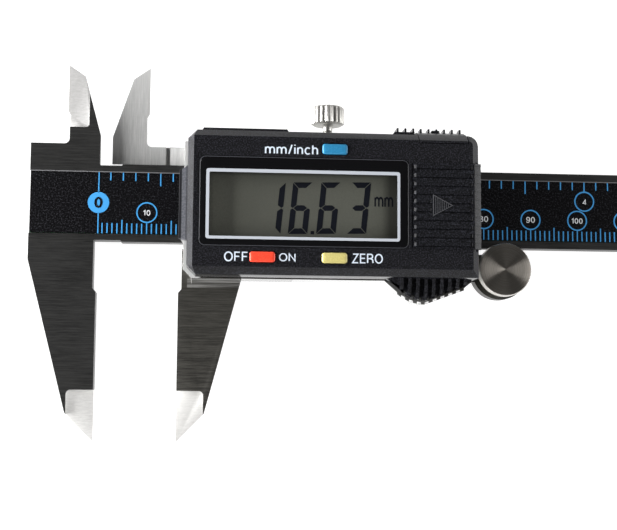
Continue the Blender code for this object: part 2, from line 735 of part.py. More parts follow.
def movable_inside_jaw():
    edge = REST_OPENING - INSIDE_EDGE
    base = BEAM_EDGE + SLIDE_GAP
    back = edge - INSIDE_BACK_WIDTH
    outline = rounded(
        [
            (back, base),
            (FRAME_LEFT + OVERCUT, base),
        ]
        + list(reversed(inside_edge_outline(1, edge, FRAME_LEFT + OVERCUT)))
        + [
            (edge - INSIDE_TIP_WIDTH, INSIDE_TIP - INSIDE_TIP_DROP),
            (back, BEAM_EDGE + INSIDE_KNEE_HEIGHT, 1.0 * MM),
        ]
    )
    front = LAP_PLANE - SLIDE_GAP / 2
    jaw = extruded("movable_inside_jaw", outline, BEAM_BACK, front)
    groove_x = FRAME_LEFT - ARM_GROOVE_OFFSET
    groove = extruded(
        "inside_arm_groove",
        rectangle(groove_x, base - OVERCUT, groove_x + ARM_GROOVE_WIDTH, base + INSIDE_BASE_HEIGHT + OVERCUT),
        front - ARM_GROOVE_DEPTH,
        front + OVERCUT,
    )
    return cut(jaw, groove, inside_tip_cutter("movable_inside_tip", edge, -1, BEAM_BACK, -1))


def wheel_arm():
    x, y = WHEEL_AT
    half = math.acos((ARM_EDGE - y) / ARM_RADIUS)
    start = math.pi / 2 - half
    sweep = 2 * (math.pi - half)
    disc = []
    for step in range(FINE_STEPS + 1):
        angle = start - sweep * step / FINE_STEPS
        disc.append((x + ARM_RADIUS * math.cos(angle), y + ARM_RADIUS * math.sin(angle)))
    inside = FRAME_RIGHT - OVERCUT
    arm = extruded("wheel_arm_disc", disc, 0.0, ARM_THICKNESS)
    web = rectangle(inside, -FRAME_BOTTOM + SEAT_GAP, x, ARM_EDGE - SEAT_GAP)
    return join(arm, extruded("wheel_arm_web", web, SEAT_GAP / 2, ARM_THICKNESS - SEAT_GAP / 2))


def channel_cutters():
    left = FRAME_LEFT - OVERCUT
    right = FRAME_RIGHT + OVERCUT
    edge = BEAM_EDGE + SLIDE_GAP
    slot = BEAM_EDGE - LIP_OVERLAP
    channel = [
        (-edge, FRAME_BACK_WALL),
        (edge, FRAME_BACK_WALL),
        (edge, LIP_BACK),
        (slot, LIP_BACK),
        (slot, FRAME_HEIGHT + OVERCUT),
        (-slot, FRAME_HEIGHT + OVERCUT),
        (-slot, LIP_BACK),
        (-edge, LIP_BACK),
    ]
    gib_room = rectangle(FRAME_LEFT + GIB_END, 0.0, FRAME_RIGHT - GIB_END, RAIL_INNER)
    board_room = rectangle(BOARD_LEFT, BOARD_LOW, BOARD_RIGHT, BOARD_HIGH)
    return (
        extruded("frame_channel", channel, left, right, "X"),
        extruded("frame_gib_room", gib_room, BEAM_BACK - FIT_GAP, LIP_BACK - FIT_GAP / 2),
        extruded("frame_board_room", board_room, POCKET_FLOOR, FRAME_HEIGHT + OVERCUT),
    )


def frame_holes():
    holes = []
    seat = SMALL_HEAD + 2 * FIT_GAP
    for i, x in enumerate(CASE_SCREW_XS):
        for j, y in enumerate(CASE_SCREW_YS):
            name = f"frame_case_screw_{i + 1}_{j + 1}"
            hole = circle(SMALL_SCREW_RADIUS + PIN_GAP, (x, y))
            head = circle(SMALL_HEAD_RADIUS + FIT_GAP, (x, y))
            holes.append(extruded(f"{name}_hole", hole, -OVERCUT, FRAME_HEIGHT + OVERCUT))
            holes.append(extruded(f"{name}_seat", head, -OVERCUT, seat))
    for i, x in enumerate(gib_screw_xs()):
        hole = circle(GIB_SCREW_RADIUS + PIN_GAP, (x, LAP_PLANE))
        holes.append(extruded(f"frame_gib_hole_{i + 1}", hole, BEAM_EDGE, FRAME_TOP + OVERCUT, "Y"))
    lock = circle(LOCK_STEM_RADIUS + PIN_GAP, (LOCK_AT, LAP_PLANE))
    holes.append(extruded("frame_lock_hole", lock, BEAM_EDGE, FRAME_TOP + OVERCUT, "Y"))
    rivet = (ROD_LEFT + RIVET_INSET, 0.0)
    holes.append(extruded("frame_rivet_hole", circle(RIVET_RADIUS + PIN_GAP, rivet), -OVERCUT, BEAM_BACK))
    rivet_seat = RIVET_HEAD + 2 * FIT_GAP
    holes.append(extruded("frame_rivet_seat", circle(RIVET_HEAD_RADIUS + FIT_GAP, rivet), -OVERCUT, rivet_seat))
    holes.append(extruded("frame_wheel_hole", circle(SHAFT_RADIUS + PIN_GAP, WHEEL_AT), -OVERCUT, BEAM_FRONT))
    holes.append(extruded("frame_clip_recess", circle(CLIP_RADIUS + SEAT_GAP, WHEEL_AT), -OVERCUT, CLIP_RECESS))
    return holes


def slider_frame(body):
    frame = extruded("slider_frame", frame_outline(), 0.0, FRAME_HEIGHT)
    cut(frame, *channel_cutters())
    join(frame, movable_jaw(), movable_inside_jaw(), wheel_arm())
    join(frame, jaw_fillet("jaw_fillet_front", BEAM_FRONT, 1, FRAME_HEIGHT))
    join(frame, jaw_fillet("jaw_fillet_back", BEAM_BACK, -1, 0.0))
    cut(frame, *frame_holes())
    return carried(frame, body, steel_dark)


def gib_screw_xs():
    return (FRAME_LEFT + GIB_SCREW_INSET, FRAME_RIGHT - GIB_SCREW_INSET)


def gib(body):
    left = FRAME_LEFT + GIB_END + FIT_GAP
    right = FRAME_RIGHT - GIB_END - FIT_GAP
    outline = rectangle(left, GIB_INNER, right, GIB_INNER + GIB_THICKNESS)
    strip = extruded("gib_strip", outline, LAP_PLANE - GIB_WIDTH / 2, LAP_PLANE + GIB_WIDTH / 2)
    carried(strip, body, brass)
    low = GIB_INNER + GIB_THICKNESS + FIT_GAP
    high = low + GIB_SCREW_LENGTH
    for name, x in zip(("gib_screw_left", "gib_screw_right"), gib_screw_xs()):
        profile = (
            (GIB_SCREW_RADIUS * 0.5, low),
            (GIB_SCREW_RADIUS, low + GIB_SCREW_RADIUS * 0.5),
            (GIB_SCREW_RADIUS, high),
            (GIB_SOCKET_RADIUS, high),
            (GIB_SOCKET_RADIUS, high - GIB_SOCKET_DEPTH),
        )
        carried(turned(name, profile, (x, LAP_PLANE), "Y", 24), body, steel_bright)


def depth_rod(body):
    edge = ROD_WIDTH / 2
    outline = [(ROD_LEFT, -edge), (ROD_RIGHT, -edge), (ROD_RIGHT, edge), (ROD_LEFT, edge)]
    rod = extruded("depth_rod", rounded(outline), ROD_BACK, ROD_BACK + ROD_THICKNESS)
    rivet = (ROD_LEFT + RIVET_INSET, 0.0)
    cut(rod, extruded("rod_rivet_hole", circle(RIVET_RADIUS + PIN_GAP, rivet), BEAM_BACK - OVERCUT, BEAM_FRONT))
    nick = extruded(
        "rod_end_nick",
        [(ROD_RIGHT - EDGE_RELIEF_LENGTH, -edge - OVERCUT), (ROD_RIGHT + OVERCUT, -edge - OVERCUT),
         (ROD_RIGHT + OVERCUT, -edge / 2), (ROD_RIGHT - OVERCUT, -edge / 2)],
        BEAM_BACK - OVERCUT,
        BEAM_FRONT,
    )
    cut(rod, nick)
    carried(rod, body, steel_bright)
    profile = (
        (RIVET_HEAD_RADIUS * 0.8, FIT_GAP),
        (RIVET_HEAD_RADIUS, FIT_GAP + RIVET_HEAD / 2),
        (RIVET_HEAD_RADIUS, FIT_GAP + RIVET_HEAD),
        (RIVET_RADIUS, FIT_GAP + RIVET_HEAD),
        (RIVET_RADIUS, ROD_BACK + ROD_THICKNESS),
    )
    carried(turned("rod_rivet", profile, rivet, steps=24), body, steel_bright)


# Case

def case_outline():
    return rounded(
        [
            (CASE_LEFT, -CASE_BOTTOM + CASE_CORNER_CUT),
            (CASE_LEFT + CASE_CORNER_CUT, -CASE_BOTTOM),
            (CASE_RIGHT, -CASE_BOTTOM),
            (CASE_RIGHT, CASE_TOP, CASE_CORNER_RADIUS),
            (CASE_LEFT + CASE_CORNER_CUT, CASE_TOP),
            (CASE_LEFT, CASE_TOP - CASE_CORNER_CUT),
        ]
    )


def top_rib(name, x, foot, reach, low, high):
    half = TOP_RIB_WIDTH / 2
    profile = [(x - half, foot), (x + half, foot), (x + half * 0.7, reach), (x - half * 0.7, reach)]
    return extruded(name, profile, low, high)


def top_pads():
    foot = CASE_TOP - CASE_WALL / 2
    reach = CASE_TOP + PAD_LEFT_REACH
    back = CASE_BACK + SEAT_GAP
    slope = PAD_LEFT_REACH
    left = CASE_LEFT + PAD_LEFT_INSET
    right = left + PAD_LEFT_LENGTH
    pads = [extruded("pad_left", [(left, foot), (right, foot), (right - slope, reach), (left + slope, reach)],
                     back, back + PAD_HEIGHT)]
    right = COVER_LEFT - SEAT_GAP
    left = right - PAD_RIGHT_LENGTH
    reach = COVER_REACH
    pads.append(extruded("pad_right", [(left, foot), (right, foot), (right, reach), (left + slope, reach)],
                         back, back + PAD_HEIGHT + SEAT_GAP))
    for i in range(PAD_RIBS):
        x = TOP_RIB_FIRST + i * TOP_RIB_PITCH
        pads.append(top_rib(f"pad_rib_{i + 1}", x, foot, reach + TOP_RIB_HEIGHT, back + SEAT_GAP, back + PAD_HEIGHT))
    return pads


def thumb_grip():
    # The lower lobe follows the frame's edge, and its ribs slope down towards that edge.
    inside = -CASE_BOTTOM + CASE_WALL / 2
    outline = rounded(grip_outline(FIT_GAP) + [(CASE_RIGHT - SEAT_GAP, -FRAME_BOTTOM + SEAT_GAP),
                                               (CASE_RIGHT - SEAT_GAP, inside),
                                               (grip_start() - SEAT_GAP, inside)])
    top = CASE_BACK + GRIP_HEIGHT
    lobe = extruded("grip_lobe", outline, CASE_BACK, top - GRIP_SLOPE / 2)
    ribs = []
    for i in range(GRIP_RIBS):
        x = GRIP_RIB_FIRST + i * GRIP_RIB_PITCH
        half = GRIP_RIB_WIDTH / 2 - FIT_GAP / 2
        edge = max(edge_height(x - half), edge_height(x + half)) + 2 * FIT_GAP
        profile = [
            (inside, CASE_BACK + SEAT_GAP),
            (edge, CASE_BACK + SEAT_GAP),
            (edge, top - GRIP_SLOPE / 2 + GRIP_RIB_RISE / 2),
            (edge / 2 + inside / 2, top + GRIP_RIB_RISE / 2),
            (inside, top + GRIP_RIB_RISE),
        ]
        ribs.append(extruded(f"grip_rib_{i + 1}", profile, x - half, x + half, "X"))
    return [lobe, *ribs]


def button_hole(name, place):
    x, y = place
    long = BUTTON_LENGTH / 2 + FIT_GAP
    wide = BUTTON_WIDTH / 2 + FIT_GAP
    outline = rectangle(x - long, y - wide, x + long, y + wide, BUTTON_CORNER + FIT_GAP)
    return extruded(name, outline, CASE_INNER_FRONT - OVERCUT, CASE_FRONT + OVERCUT)


def window_box():
    return (
        LENS_LEFT + WINDOW_INSET,
        LENS_LOW + WINDOW_LOW_INSET,
        LENS_RIGHT - WINDOW_INSET - SEAT_GAP,
        LENS_HIGH - WINDOW_HIGH_INSET,
    )


def case_cuts():
    cavity = rectangle(CASE_LEFT + CASE_WALL, -CASE_BOTTOM + CASE_WALL, LENS_RIGHT - SEAT_GAP, CASE_TOP - CASE_WALL)
    lens = rectangle(LENS_LEFT, LENS_LOW, LENS_RIGHT, LENS_HIGH, LENS_CORNER)
    return [
        extruded("case_cavity", cavity, CASE_BACK - OVERCUT, CASE_INNER_FRONT),
        extruded("case_lens_seat", lens, LENS_BACK, CASE_FRONT + OVERCUT),
        extruded("case_window", rectangle(*window_box()), CASE_INNER_FRONT - OVERCUT, CASE_FRONT),
        button_hole("case_unit_hole", UNIT_BUTTON_AT),
        button_hole("case_power_hole", POWER_BUTTON_AT),
        button_hole("case_zero_hole", ZERO_BUTTON_AT),
    ]


def battery_cuts():
    right = CASE_RIGHT + OVERCUT
    seat = rectangle(DOOR_LEFT, DOOR_LOW, right, DOOR_HIGH)
    groove_low = DOOR_LOW - DOOR_TONGUE - FIT_GAP
    groove_high = DOOR_HIGH + DOOR_TONGUE + FIT_GAP
    groove = rectangle(DOOR_LEFT + FIT_GAP, groove_low, right, groove_high)
    x, y = CELL_AT
    side = rectangle(x - CONTACT_WIDTH, y, x + CONTACT_WIDTH, y + CELL_RADIUS + 4 * CONTACT_THICKNESS)
    tail = rectangle(LENS_RIGHT - OVERCUT, y - CONTACT_WIDTH / 2 - FIT_GAP, x, y + CONTACT_WIDTH / 2 + FIT_GAP)
    return [
        extruded("case_door_seat", seat, DOOR_SEAT, CASE_FRONT + OVERCUT),
        extruded("case_door_groove", groove, DOOR_SEAT - FIT_GAP / 2, DOOR_SEAT + DOOR_TONGUE_THICKNESS + FIT_GAP),
        extruded("case_cell_pocket", circle(CELL_RADIUS + CELL_CLEARANCE, CELL_AT, FINE_STEPS),
                 BATTERY_BOTTOM, CASE_FRONT),
        extruded("case_contact_notch", side, BATTERY_BOTTOM, CASE_FRONT - DOOR_THICKNESS),
        extruded("case_contact_slot", tail, CASE_BACK - OVERCUT, BATTERY_BOTTOM + FIT_GAP),
    ]


def port_cuts():
    left = COVER_LEFT - FIT_GAP
    right = COVER_LEFT + COVER_LENGTH + FIT_GAP
    high = CASE_TOP + OVERCUT
    middle = COVER_LEFT + COVER_LENGTH / 2
    port = rectangle(middle - PORT_LENGTH / 2, CASE_TOP - CASE_WALL - PORT_DEPTH,
                     middle + PORT_LENGTH / 2, high)
    cover_seat = rectangle(left, COVER_LOW - FIT_GAP, right, high)
    return [
        extruded("case_cover_seat", cover_seat, COVER_BOTTOM - FIT_GAP, CASE_FRONT + OVERCUT),
        extruded("case_port", port, PORT_BOTTOM, PORT_TOP),
    ]


def screw_bosses():
    bosses, holes = [], []
    for i, x in enumerate(CASE_SCREW_XS):
        for j, y in enumerate(CASE_SCREW_YS):
            name = f"case_boss_{i + 1}_{j + 1}"
            place = (x, y)
            if x < LENS_RIGHT:
                bosses.append(extruded(name, circle(BOSS_RADIUS, place), CASE_BACK, CASE_INNER_FRONT + FIT_GAP))
            hole = circle(SMALL_SCREW_RADIUS + PIN_GAP, place)
            holes.append(extruded(f"{name}_hole", hole, CASE_BACK - OVERCUT, CASE_SCREW_TIP + FIT_GAP))
    return bosses, holes


def housing(body):
    case = chamfered("housing", case_outline(), CASE_BACK, CASE_FRONT, CASE_CHAMFER, CASE_CHAMFER_DEPTH)
    bosses, holes = screw_bosses()
    cut(case, *battery_cuts(), *port_cuts())
    join(case, *top_pads(), *thumb_grip())
    cut(case, *case_cuts())
    join(case, *bosses)
    cut(case, *holes)
    return carried(case, body, plastic_black)


def case_screws(body):
    number = 1
    for y in CASE_SCREW_YS:
        for x in CASE_SCREW_XS:
            small_screw(f"case_screw_{number}", x, y, FIT_GAP, CASE_SCREW_TIP, body)
            number += 1


def wiper(body):
    right = CASE_LEFT - SEAT_GAP
    left = right - WIPER_THICKNESS
    edge = BEAM_EDGE - LIP_OVERLAP - FIT_GAP
    taper = edge - WIPER_TAPER
    outline = [(left, -taper), (right, -edge), (right, edge), (left, taper)]
    strip = extruded("beam_wiper", rounded(outline), LIP_BACK + SEAT_GAP, LIP_BACK + SEAT_GAP + WIPER_HEIGHT)
    return carried(strip, body, plastic_grey)


# Display and electronics

def display(body):
    lens = rectangle(LENS_LEFT + FIT_GAP, LENS_LOW + FIT_GAP, LENS_RIGHT - FIT_GAP, LENS_HIGH - FIT_GAP, LENS_CORNER)
    cover = chamfered("display_lens", lens, LENS_BACK + FIT_GAP, CASE_FRONT, FIT_GAP, FIT_GAP)
    carried(cover, body, clear_plastic)
    left, low, right, high = window_box()
    left, low, right, high = left - LCD_BORDER, low - LCD_BORDER, right + LCD_BORDER, high + LCD_BORDER
    panel = extruded("lcd_panel", rectangle(left, low, right, high), LCD_BACK, LCD_FRONT)
    carried(panel, body, lcd_green)
    for name, middle in (("lcd_strip_upper", high - STRIP_SETBACK), ("lcd_strip_lower", low + STRIP_SETBACK)):
        outline = rectangle(left + STRIP_SETBACK, middle - STRIP_WIDTH / 2,
                            right - STRIP_SETBACK, middle + STRIP_WIDTH / 2)
        strip = extruded(name, outline, BOARD_FRONT + SEAT_GAP, LCD_BACK - SEAT_GAP)
        carried(strip, body, rubber_grey)


def main_board(body):
    outline = rectangle(BOARD_LEFT + SEAT_GAP, BOARD_LOW + SEAT_GAP, BOARD_RIGHT - SEAT_GAP, BOARD_HIGH - SEAT_GAP)
    board = extruded("main_board", outline, BOARD_BACK, BOARD_FRONT)
    for j, y in enumerate(CASE_SCREW_YS):
        place = (CASE_SCREW_XS[0], y)
        notch = circle(BOSS_RADIUS + FIT_GAP, place)
        cut(board, extruded(f"board_notch_{j + 1}", notch, BOARD_BACK - OVERCUT, BOARD_FRONT + OVERCUT))
    carried(board, body, board_green)
    centre = ((BOARD_LEFT + BOARD_RIGHT) / 2, (BOARD_LOW + BOARD_HIGH) / 2)
    profile = (
        (CHIP_RADIUS, BOARD_FRONT + FIT_GAP),
        (CHIP_RADIUS * 0.95, BOARD_FRONT + FIT_GAP + CHIP_HEIGHT * 0.4),
        (CHIP_RADIUS * 0.75, BOARD_FRONT + FIT_GAP + CHIP_HEIGHT * 0.8),
        (CHIP_RADIUS * 0.4, BOARD_FRONT + FIT_GAP + CHIP_HEIGHT),
    )
    carried(turned("driver_chip", profile, centre, steps=24), body, plastic_black)


def contact_dome(name, place, body):
    foot = BOARD_FRONT + FIT_GAP
    profile = (
        (DOME_RADIUS, foot),
        (DOME_RADIUS, foot + DOME_HEIGHT * 0.3),
        (DOME_RADIUS * 0.7, foot + DOME_HEIGHT * 0.8),
        (DOME_RADIUS * 0.3, foot + DOME_HEIGHT),
    )
    carried(turned(name, profile, place, steps=24), body, steel_bright)


def button(name, place, body, colour):
    # A cap with a flange that keeps it under the case's front, and a stem down to its dome.
    x, y = place
    long, wide = BUTTON_LENGTH / 2, BUTTON_WIDTH / 2
    top = CASE_FRONT + BUTTON_PROUD
    flange_top = CASE_INNER_FRONT - FIT_GAP
    flange_back = flange_top - BUTTON_FLANGE_THICKNESS
    cap = chamfered(name, rectangle(x - long, y - wide, x + long, y + wide, BUTTON_CORNER),
                    flange_back + FIT_GAP, top, 0.3 * MM, 0.25 * MM)
    side = BUTTON_FLANGE
    flange = rectangle(x - long - side, y - wide - side / 2, x + long + side, y + wide + side / 2)
    stem_tip = BOARD_FRONT + FIT_GAP + DOME_HEIGHT + BUTTON_TRAVEL + FIT_GAP
    stem = circle(BUTTON_STEM_RADIUS, place, 24)
    join(cap, extruded(f"{name}_flange", flange, flange_back, flange_top))
    join(cap, extruded(f"{name}_stem", stem, stem_tip, flange_top - FIT_GAP))
    return carried(cap, body, colour)


# Battery

def battery(body):
    x, y = CELL_AT
    bevel = 0.5 * MM
    insulator = CELL_RADIUS * 0.8
    profile = (
        (insulator, CELL_BACK),
        (insulator, CELL_BACK + bevel),
        (CELL_RADIUS - bevel, CELL_BACK + bevel),
        (CELL_RADIUS, CELL_BACK + 2 * bevel),
        (CELL_RADIUS, CELL_BACK + CELL_HEIGHT - bevel / 2),
        (CELL_RADIUS - bevel / 2, CELL_BACK + CELL_HEIGHT),
    )
    carried(turned("battery_cell", profile, CELL_AT, steps=FINE_STEPS), body, steel_bright)
    strip = CONTACT_THICKNESS
    low = BOARD_FRONT + SEAT_GAP
    high = BATTERY_BOTTOM + FIT_GAP
    start = BOARD_RIGHT - 3 * SEAT_GAP
    path = [(start - OVERCUT, low), (LENS_RIGHT, low), (x - CELL_RADIUS / 2, high), (x - OVERCUT, high)]
    leaf = path + [(px, pz + strip) for px, pz in reversed(path)]
    contact = extruded("battery_contact_negative", leaf, y - CONTACT_WIDTH / 2, y + CONTACT_WIDTH / 2, "Y")
    carried(contact, body, brass)
    near = y + CELL_RADIUS + FIT_GAP
    bow = [(x - CONTACT_WIDTH + FIT_GAP, near + 2 * strip), (x, near), (x + CONTACT_WIDTH - FIT_GAP, near + 2 * strip)]
    spring = bow + [(px, py + strip) for px, py in reversed(bow)]
    contact = extruded("battery_contact_positive", spring, BATTERY_BOTTOM + FIT_GAP, CELL_BACK + CELL_HEIGHT)
    carried(contact, body, brass)


def battery_door(body):
    left = DOOR_LEFT + FIT_GAP
    low, high = DOOR_LOW + FIT_GAP, DOOR_HIGH - FIT_GAP
    right = CASE_RIGHT + DOOR_OVERHANG
    back = DOOR_SEAT + FIT_GAP
    end = [(left, back), (right, back), (right, CASE_FRONT - CASE_CHAMFER_DEPTH / 2),
           (right - CASE_CHAMFER, CASE_FRONT), (left, CASE_FRONT)]
    door = extruded("battery_door", [(x, z) for x, z in end], low, high, "Y")
    tongue = rectangle(left + SEAT_GAP, low - DOOR_TONGUE, right - SEAT_GAP, high + DOOR_TONGUE)
    join(door, extruded("door_tongue", tongue, back + FIT_GAP / 2, back + DOOR_TONGUE_THICKNESS))
    middle = (low + high) / 2
    for i in range(DOOR_RIBS):
        y = middle + (i - (DOOR_RIBS - 1) / 2) * DOOR_RIB_PITCH
        half = DOOR_RIB_WIDTH / 2
        rib = rectangle(left + DOOR_RIB_START, y - half, right - CASE_CHAMFER - SEAT_GAP, y + half)
        join(door, extruded(f"door_rib_{i + 1}", rib, CASE_FRONT - FIT_GAP, CASE_FRONT + DOOR_RIB_HEIGHT))
    start = left + ARROW_START
    arrow = [(start, middle - ARROW_HALF_HEIGHT), (start + ARROW_LENGTH, middle), (start, middle + ARROW_HALF_HEIGHT)]
    join(door, extruded("door_arrow", arrow, CASE_FRONT - FIT_GAP, CASE_FRONT + 1.5 * DOOR_RIB_HEIGHT))
    return carried(door, body, plastic_black)


# Data port

def data_contacts(body):
    middle = COVER_LEFT + COVER_LENGTH / 2
    low = CASE_TOP - CASE_WALL - PORT_DEPTH + FIT_GAP
    back = PORT_BOTTOM + FIT_GAP
    bar = rectangle(middle - PORT_LENGTH / 2 + FIT_GAP, low, middle + PORT_LENGTH / 2 - FIT_GAP, low + OVERCUT)
    block = extruded("data_contacts", bar, back, PORT_TOP - FIT_GAP)
    for i in range(PORT_FINGERS):
        x = middle + (i - (PORT_FINGERS - 1) / 2) * PORT_FINGER_PITCH
        half = PORT_FINGER_PITCH * 0.25
        finger = rectangle(x - half, low + OVERCUT / 2, x + half, COVER_LOW - SEAT_GAP)
        join(block, extruded(f"data_finger_{i + 1}", finger, back + SEAT_GAP, back + 3 * SEAT_GAP))
    return carried(block, body, brass)


def port_cover(body):
    # Its section follows the case's chamfer in front and stands proud of the top edge.
    left, right = COVER_LEFT, COVER_LEFT + COVER_LENGTH
    chamfer_y = CASE_TOP - CASE_CHAMFER
    section = [
        (COVER_LOW, COVER_BOTTOM),
        (COVER_REACH, COVER_BOTTOM),
        (COVER_REACH, CASE_BACK + PAD_HEIGHT + SEAT_GAP),
        (CASE_TOP, CASE_FRONT - CASE_CHAMFER_DEPTH),
        (chamfer_y, CASE_FRONT),
        (COVER_LOW, CASE_FRONT),
    ]
    cover = extruded("port_cover", section, left, right, "X")
    back = COVER_BOTTOM + SEAT_GAP
    front = CASE_BACK + PAD_HEIGHT
    foot = COVER_REACH - CASE_WALL / 2
    for i in range(COVER_RIBS):
        x = TOP_RIB_FIRST + (PAD_RIBS + i) * TOP_RIB_PITCH
        join(cover, top_rib(f"cover_rib_{i + 1}", x, foot, COVER_REACH + TOP_RIB_HEIGHT, back, front))
    return carried(cover, body, plastic_black)


# Thumb wheel and lock screw

def thumb_wheel(body):
    # Roller, knurled flange and the shaft that runs through the arm, turned in one piece.
    roller_back = ARM_THICKNESS + SEAT_GAP
    front = WHEEL_BACK + WHEEL_THICKNESS
    rim = WHEEL_RADIUS - WHEEL_CHAMFER
    wheel = fluted(
        "thumb_wheel",
        ((rim, WHEEL_BACK, 0), (WHEEL_RADIUS, WHEEL_BACK + WHEEL_CHAMFER, 1),
         (WHEEL_RADIUS, front - WHEEL_CHAMFER, 1), (rim, front, 0)),
        WHEEL_AT, "Z", WHEEL_KNURLS, KNURL_DEPTH,
    )
    clip_low = CLIP_RECESS - FIT_GAP - CLIP_THICKNESS
    shaft = (
        (SHAFT_RADIUS * 0.8, FIT_GAP),
        (SHAFT_RADIUS, clip_low - FIT_GAP / 2),
        (SHAFT_RADIUS - CLIP_GROOVE, clip_low - FIT_GAP / 2),
        (SHAFT_RADIUS - CLIP_GROOVE, clip_low + CLIP_THICKNESS + FIT_GAP / 2),
        (SHAFT_RADIUS, clip_low + CLIP_THICKNESS + FIT_GAP / 2),
        (SHAFT_RADIUS, roller_back),
        (ROLLER_RADIUS, roller_back),
        (ROLLER_RADIUS, WHEEL_BACK + SEAT_GAP),
    )
    join(wheel, turned("wheel_shaft", shaft, WHEEL_AT, steps=FINE_STEPS))
    carried(wheel, body, steel_dark)
    ring = circle(CLIP_RADIUS, WHEEL_AT)
    clip = extruded("wheel_clip", ring, clip_low, clip_low + CLIP_THICKNESS)
    bore = circle(SHAFT_RADIUS - CLIP_GROOVE + PIN_GAP, WHEEL_AT)
    x, y = WHEEL_AT
    gap = SHAFT_RADIUS - CLIP_GROOVE
    mouth = rectangle(x - gap, y - CLIP_RADIUS - OVERCUT, x + gap, y)
    cut(clip, extruded("clip_bore", bore, 0.0, CLIP_RECESS + OVERCUT))
    cut(clip, extruded("clip_mouth", mouth, 0.0, CLIP_RECESS + OVERCUT))
    carried(clip, body, steel_bright)


def lock_screw(body):
    tip = GIB_INNER + GIB_THICKNESS + FIT_GAP
    neck = LOCK_HEAD_LOW
    head = fluted(
        "lock_screw",
        ((LOCK_HEAD_RADIUS * 0.72, neck, 0), (LOCK_HEAD_RADIUS - KNURL_DEPTH, neck + LOCK_SKIRT, 0),
         (LOCK_HEAD_RADIUS, neck + LOCK_SKIRT, 1), (LOCK_HEAD_RADIUS, LOCK_HEAD_HIGH - LOCK_CHAMFER, 1),
         (LOCK_HEAD_RADIUS - 2 * KNURL_DEPTH, LOCK_HEAD_HIGH, 0)),
        (LOCK_AT, LAP_PLANE), "Y", LOCK_KNURLS, KNURL_DEPTH,
    )
    stem = (
        (LOCK_STEM_RADIUS * 0.6, tip),
        (LOCK_STEM_RADIUS, tip + LOCK_CHAMFER),
        (LOCK_STEM_RADIUS, neck + LOCK_SKIRT),
    )
    join(head, turned("lock_stem", stem, (LOCK_AT, LAP_PLANE), "Y"))
    return carried(head, body, steel_bright)


clear_scene()
root = empty("caliper", -BOX_CENTRE)

steel_dark = finish("dark_brushed_steel", (0.055, 0.053, 0.050), 0.45, 0.8)
steel_bright = finish("bright_ground_steel", (0.62, 0.61, 0.59), 0.3, 1.0)
brass = finish("spring_brass", (0.62, 0.47, 0.20), 0.35, 1.0)
plastic_black = finish("black_case_plastic", (0.017, 0.017, 0.020), 0.5)
plastic_grey = finish("grey_wiper_plastic", (0.16, 0.165, 0.18), 0.55)
rubber_grey = finish("grey_contact_rubber", (0.25, 0.25, 0.26), 0.8)
clear_plastic = finish("clear_lens_plastic", (0.012, 0.012, 0.015), 0.06)
lcd_green = finish("lcd_glass", (0.115, 0.115, 0.088), 0.25)
board_green = finish("circuit_board", (0.03, 0.12, 0.05), 0.5)
label_black = finish("scale_label_black", (0.012, 0.013, 0.015), 0.55)
button_blue = finish("blue_button", (0.065, 0.38, 0.76), 0.4)
button_red = finish("red_button", (0.88, 0.07, 0.04), 0.4)
button_yellow = finish("yellow_button", (0.80, 0.68, 0.22), 0.4)

beam_body = empty("beam_body", parent=root)
slider_body = empty("slider_body", (REST_OPENING, 0.0, 0.0), root)
wheel_body = empty("wheel_axis", (*WHEEL_AT, 0.0), root)
lock_body = empty("lock_axis", (LOCK_AT, 0.0, LAP_PLANE), root)

beam(beam_body)
scale_parts(beam_body)
end_stop(beam_body)

slider_frame(slider_body)
gib(slider_body)
depth_rod(slider_body)
housing(slider_body)
case_screws(slider_body)
wiper(slider_body)
display(slider_body)
main_board(slider_body)
battery(slider_body)
data_contacts(slider_body)

for kind, spot, colour in (
    ("unit", UNIT_BUTTON_AT, button_blue),
    ("power", POWER_BUTTON_AT, button_red),
    ("zero", ZERO_BUTTON_AT, button_yellow),
):
    contact_dome(f"{kind}_dome", spot, slider_body)
    axis_empty = empty(f"{kind}_button_axis", (*spot, CASE_FRONT), root)
    button(f"{kind}_button", spot, axis_empty, colour)

battery_door(empty("door_slide_axis", (DOOR_LEFT, 0.0, DOOR_SEAT), root))
port_cover(empty("cover_slide_axis", (COVER_LEFT, COVER_LOW, COVER_BOTTOM), root))
thumb_wheel(wheel_body)
lock_screw(lock_body)
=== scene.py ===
import math

import bmesh
import bpy
import numpy as np
from mathutils import Matrix, Vector


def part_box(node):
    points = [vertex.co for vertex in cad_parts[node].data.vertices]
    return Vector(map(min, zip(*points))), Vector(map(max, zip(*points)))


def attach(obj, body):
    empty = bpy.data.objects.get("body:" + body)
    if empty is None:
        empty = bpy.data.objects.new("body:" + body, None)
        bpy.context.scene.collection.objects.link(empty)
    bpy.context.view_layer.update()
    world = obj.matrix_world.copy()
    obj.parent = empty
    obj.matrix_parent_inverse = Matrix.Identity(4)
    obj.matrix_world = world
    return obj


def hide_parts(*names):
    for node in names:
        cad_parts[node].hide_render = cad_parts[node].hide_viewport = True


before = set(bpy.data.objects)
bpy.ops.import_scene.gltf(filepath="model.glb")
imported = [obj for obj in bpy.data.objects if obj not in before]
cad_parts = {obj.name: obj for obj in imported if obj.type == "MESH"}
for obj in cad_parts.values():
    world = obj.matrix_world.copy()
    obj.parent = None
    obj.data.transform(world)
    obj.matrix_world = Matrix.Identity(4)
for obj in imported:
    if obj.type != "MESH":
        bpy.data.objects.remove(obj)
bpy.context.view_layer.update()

# Everything below is in millimetres from one datum: x = 0 on the fixed jaw's measuring
# face, y = 0 on the beam's centreline, z = 0 on the slider's back.
mm = 0.001
labelLow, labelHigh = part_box("scale_label")
datum = np.array([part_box("beam")[0].x + 13.76 * mm, (labelLow.y + labelHigh.y) / 2, 0.0])
shape = bpy.data


